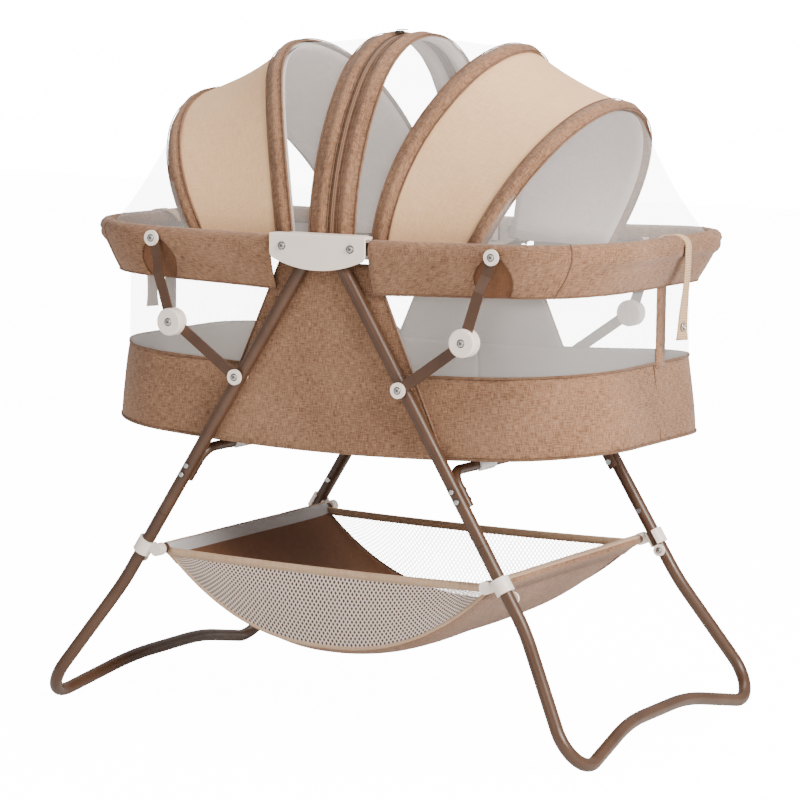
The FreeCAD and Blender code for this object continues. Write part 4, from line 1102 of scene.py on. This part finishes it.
for side, sx in SIDES:
    outer = []
    for inward, under in ((0.016, 0.0022), (0.004, 0.0050)):
        x = BASKET_X - inward
        outer.append([Vector((x, y, basket_z(x, 0.0) - under)) for y in BASKET_END])
    outer += [hem_line(angle, HEM_R) for angle in steps(-40.0, 75.0, 8)]
    band = [hem_line(angle, HEM_R + 0.0008) for angle in steps(35.0, 100.0, 5)]
    inner = [hem_line(angle, HEM_R) for angle in steps(80.0, 178.0, 8)]
    for drop in steps(0.003, HEM_DROP, 4):
        x = BASKET_X - HEM_R - drop * 0.30
        inner.append([Vector((x, y, BAR_Z - drop)) for y in BASKET_END])
    for part, part_rows, look in (("outer", outer, LINEN), ("edge", band, TAN_EDGE),
                                  ("inner", inner, HEM)):
        made = lattice(f"{side}_basket_hem_{part}", for_side(part_rows, sx), look, thick=0.0010,
                       away=(sx * BASKET_X, 0, BAR_Z))
        settle(made)
        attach(made, f"{side}_leg_pair")


# Pull straps, each with a snap near its end

STRAP_Y = 0.0195
STRAP_HALF = 0.0076
STRAP_OUT = 0.0131            # round the skirt over the rim's end
STRAP_LENGTH = 0.115
STRAP_START_Y = -0.004        # it sets out across the rim at a slant
STRAP_LEAN = 0.0045           # and hangs in towards the tub
STRAP_TWIST = 0.45            # its end is turned to the front


DISC_STEPS = 28


def disc_rows(centre, out, profile):
    """Rings of (radius, height) about a point, along an outward direction."""
    across = out.orthogonal().normalized()
    up = out.cross(across).normalized()
    rows = []
    for radius, height in profile:
        row = []
        for k in range(DISC_STEPS + 1):
            a = 2 * math.pi * k / DISC_STEPS
            row.append(centre + (across * math.cos(a) + up * math.sin(a)) * radius + out * height)
        rows.append(row)
    return rows


def dome(name, centre, out, radius, depth, look):
    """A domed round head."""
    profile = [(radius * share, depth * height) for share, height in
               ((0.02, 1.0), (0.5, 0.95), (0.82, 0.8), (1.0, 0.45), (1.0, 0.0))]
    return lattice(name, disc_rows(centre, out, profile), look, away=centre - out)


def ring(name, centre, out, radius, thick, look):
    """A round ring lying on a face."""
    profile = [(radius + thick * math.cos(a), thick * (0.6 + 0.9 * math.sin(a)))
               for a in steps(-0.6, math.pi + 0.6, 8)]
    return lattice(name, disc_rows(centre, out, profile), look, away=centre - out)


strap_path = []
for share, x, z in ((0.0, 0.3405, 0.5960), (0.2, 0.3460, 0.6050), (0.4, 0.3530, 0.6106)):
    strap_path.append(Vector((x, lerp(STRAP_START_Y, STRAP_Y, share), z)))
for angle in steps(105.0, 0.0, 12):
    a = math.radians(angle)
    y = lerp(STRAP_Y, lerp(STRAP_START_Y, STRAP_Y, 0.5), angle / 105.0)
    strap_path.append(Vector((RIM_HALF_X + STRAP_OUT * math.cos(a), y,
                              RIM_Z + RIM_LIFT + STRAP_OUT * math.sin(a))))
for drop in steps(0.006, STRAP_LENGTH, 20):
    sway = 0.0010 * math.sin(drop * 50.0) - STRAP_LEAN * drop / STRAP_LENGTH
    strap_path.append(Vector((RIM_HALF_X + STRAP_OUT + sway, STRAP_Y - 0.02 * drop,
                              RIM_Z + RIM_LIFT - drop)))

for side, sx in SIDES:
    rows = []
    for k, p in enumerate(strap_path):
        half = STRAP_HALF + 0.0005 * max(k - len(strap_path) + 3, 0)
        twist = STRAP_TWIST * max(k - len(strap_path) + 12, 0) / 12
        rows.append([Vector((sx * (p.x + twist * y), sx * (p.y + y), p.z))
                     for y in steps(-half, half, 4)])
    strap = lattice(f"{side}_pull_strap_webbing", rows, WEB, thick=0.0016,
                    away=(sx * RIM_HALF_X, 0, RIM_Z))
    settle(strap)
    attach(strap, f"{side}_rim_half")
    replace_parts(strap, f"{side}_pull_strap")
    at = Vector((sx * (strap_path[-4].x + 0.0004), sx * strap_path[-4].y, strap_path[-4].z))
    out = Vector((sx, 0, 0))
    # The dark disc between ring and stud is painted shade in the snap's gap.
    for made in (ring(f"{side}_strap_snap_ring", at, out, 0.0046, 0.0011, STEEL),
                 dome(f"{side}_strap_snap_shade", at, out, 0.0040, 0.0004, GAP_SHADE),
                 dome(f"{side}_strap_snap_stud", at, out, 0.0021, 0.0022, STEEL)):
        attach(made, f"{side}_rim_half")


# Cross-head screws and rivet heads

def plus(name, centre, out, reach, half, look):
    """The cross in a screw's head."""
    across = out.orthogonal().normalized()
    up = out.cross(across).normalized()
    outline = [(reach, half), (half, half), (half, reach), (-half, reach), (-half, half),
               (-reach, half), (-reach, -half), (-half, -half), (-half, -reach), (half, -reach),
               (half, -half), (reach, -half)]
    points = [centre + across * x + up * y for x, y in outline]
    mesh = bpy.data.meshes.new(name)
    mesh.from_pydata([centre] + points, [], [(0, k + 1, (k + 1) % len(points) + 1)
                                             for k in range(len(points))])
    mesh.materials.append(look)
    return placed(name, mesh)


def screw(name, centre, out, body, radius):
    """A domed cross-head; the dark disc round it and the dark cross on it are painted shade of its
    recess and its cross slot.
    """
    for made in (dome(f"{name}_rim", centre, out, radius * 1.28, 0.00025, GAP_SHADE),
                 dome(f"{name}_head", centre, out, radius, 0.0010, STEEL),
                 plus(f"{name}_cross", centre + out * 0.00108, out, radius * 0.55, radius * 0.13,
                      GAP_SHADE)):
        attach(made, body)


FACE_SCREWS = (              # name, place for the right back one, body, radius of the head
    ("bracket", (0.0479, 0.2195, RIM_Z), "tub_and_brackets", 0.0039),
    ("rim", (BOLT_X, 0.2196, RIM_Z), "{}_rim_half", 0.0037),
    ("leg", (0.1152, 0.2196, 0.4278), "{}_leg_pair", 0.0037),
    ("hub", (0.2055, 0.2292, 0.4907), "{}_upper_brace_pair", 0.0040),
)
STOP_SCREW = (0.2634, 0.1958, 0.1908)
RIVETS = ((0.1876, 0.2150, 0.3120), (0.1948, 0.2151, 0.3005))

for side, sx in SIDES:
    for face, sy in FACES:
        out = Vector((0, sy, 0))
        for name, (x, y, z), body, radius in FACE_SCREWS:
            at = Vector((sx * x, sy * y, z))
            screw(f"{side}_{face}_{name}_screw", at, out, body.format(side), radius)
        x, y, z = STOP_SCREW
        screw(f"{side}_{face}_stop_screw", Vector((sx * x, sy * y, z)), -out, f"{side}_leg_pair", 0.0032)
        for number, (x, y, z) in enumerate(RIVETS):
            at = Vector((sx * x, sy * y, z))
            # The dark disc round each rivet head is painted shade at its edge.
            for made in (dome(f"{side}_{face}_rivet_rim_{number}", at, out, 0.0042, 0.00025, GAP_SHADE),
                         dome(f"{side}_{face}_rivet_{number}", at, out, 0.0032, 0.0012, STEEL)):
                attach(made, f"{side}_leg_pair")


# Stage, lights and camera

FLOOR_HALF = 9.0
FLOOR_GLOW = 14.0            # paper and studio walls look white to the camera only
WORLD_SEEN = 16.0
WORLD_LIGHT = 0.62
LIGHT_COLOR = (1.0, 0.95, 0.89)

floor_mesh = bpy.data.meshes.new("studio_floor")
corners = [(x * FLOOR_HALF, y * FLOOR_HALF, 0) for x, y in ((-1, -1), (1, -1), (1, 1), (-1, 1))]
floor_mesh.from_pydata(corners, [], [(0, 1, 2, 3)])
floor = placed("studio_floor", floor_mesh)
floor_look = Recipe("studio_paper")
floor_look.finish((0.93, 0.93, 0.93, 1.0), 0.8)
seen = floor_look.node("LightPath").outputs["Is Camera Ray"]
floor_look.feed(floor_look.skin.inputs["Emission Color"], (1.0, 1.0, 1.0, 1.0))
glow = floor_look.math("MULTIPLY", seen, FLOOR_GLOW)
floor_look.feed(floor_look.skin.inputs["Emission Strength"], glow)
floor_mesh.materials.append(floor_look.material)

world = bpy.data.worlds.new("studio")
world.use_nodes = True
sky = world.node_tree
path = sky.nodes.new("ShaderNodeLightPath")
level_of = sky.nodes.new("ShaderNodeMapRange")
level_of.inputs["To Min"].default_value = WORLD_LIGHT
level_of.inputs["To Max"].default_value = WORLD_SEEN
sky.links.new(path.outputs["Is Camera Ray"], level_of.inputs["Value"])
sky.links.new(level_of.outputs["Result"], sky.nodes["Background"].inputs["Strength"])
sky.nodes["Background"].inputs["Color"].default_value = (1.0, 1.0, 1.0, 1.0)
bpy.context.scene.world = world


def softbox(name, place, aim, size, power):
    data = bpy.data.lights.new(name, "AREA")
    data.shape = "DISK"
    data.size = size
    data.energy = power
    data.color = LIGHT_COLOR
    made = bpy.data.objects.new(name, data)
    made.location = place
    made.rotation_euler = (Vector(aim) - Vector(place)).to_track_quat("-Z", "Y").to_euler()
    bpy.context.scene.collection.objects.link(made)


softbox("key_light", (2.6, -0.95, 1.8), (0, 0, 0.45), 1.4, 152.0)
softbox("fill_light", (-0.6, -2.8, 1.6), (0, 0, 0.45), 2.0, 15.0)
softbox("top_light", (0.2, 0.6, 2.8), (0, 0, 0.5), 1.8, 42.0)

CAMERA_TURN = math.radians(30.155)
CAMERA_TILT = math.radians(7.237)
CAMERA_ROLL = math.radians(0.659)
CAMERA_AIM = Vector((-0.01376, 0.0, 0.38461))
CAMERA_DISTANCE = 4.12623
CAMERA_LENS = 147.12
CAMERA_SHIFT = 0.0051

back = Vector((math.sin(CAMERA_TURN) * math.cos(CAMERA_TILT),
               -math.cos(CAMERA_TURN) * math.cos(CAMERA_TILT), math.sin(CAMERA_TILT)))
level = Vector((math.cos(CAMERA_TURN), math.sin(CAMERA_TURN), 0))
upright = back.cross(level)
right = level * math.cos(CAMERA_ROLL) + upright * math.sin(CAMERA_ROLL)
up = upright * math.cos(CAMERA_ROLL) - level * math.sin(CAMERA_ROLL)
camera_data = bpy.data.cameras.new("camera")
camera_data.lens = CAMERA_LENS
camera_data.sensor_width = 36.0
camera_data.shift_x = CAMERA_SHIFT
camera = bpy.data.objects.new("camera", camera_data)
turn = Matrix((right, up, back)).transposed().to_4x4()
camera.matrix_world = Matrix.Translation(CAMERA_AIM + back * CAMERA_DISTANCE) @ turn
bpy.context.scene.collection.objects.link(camera)
bpy.context.scene.camera = camera
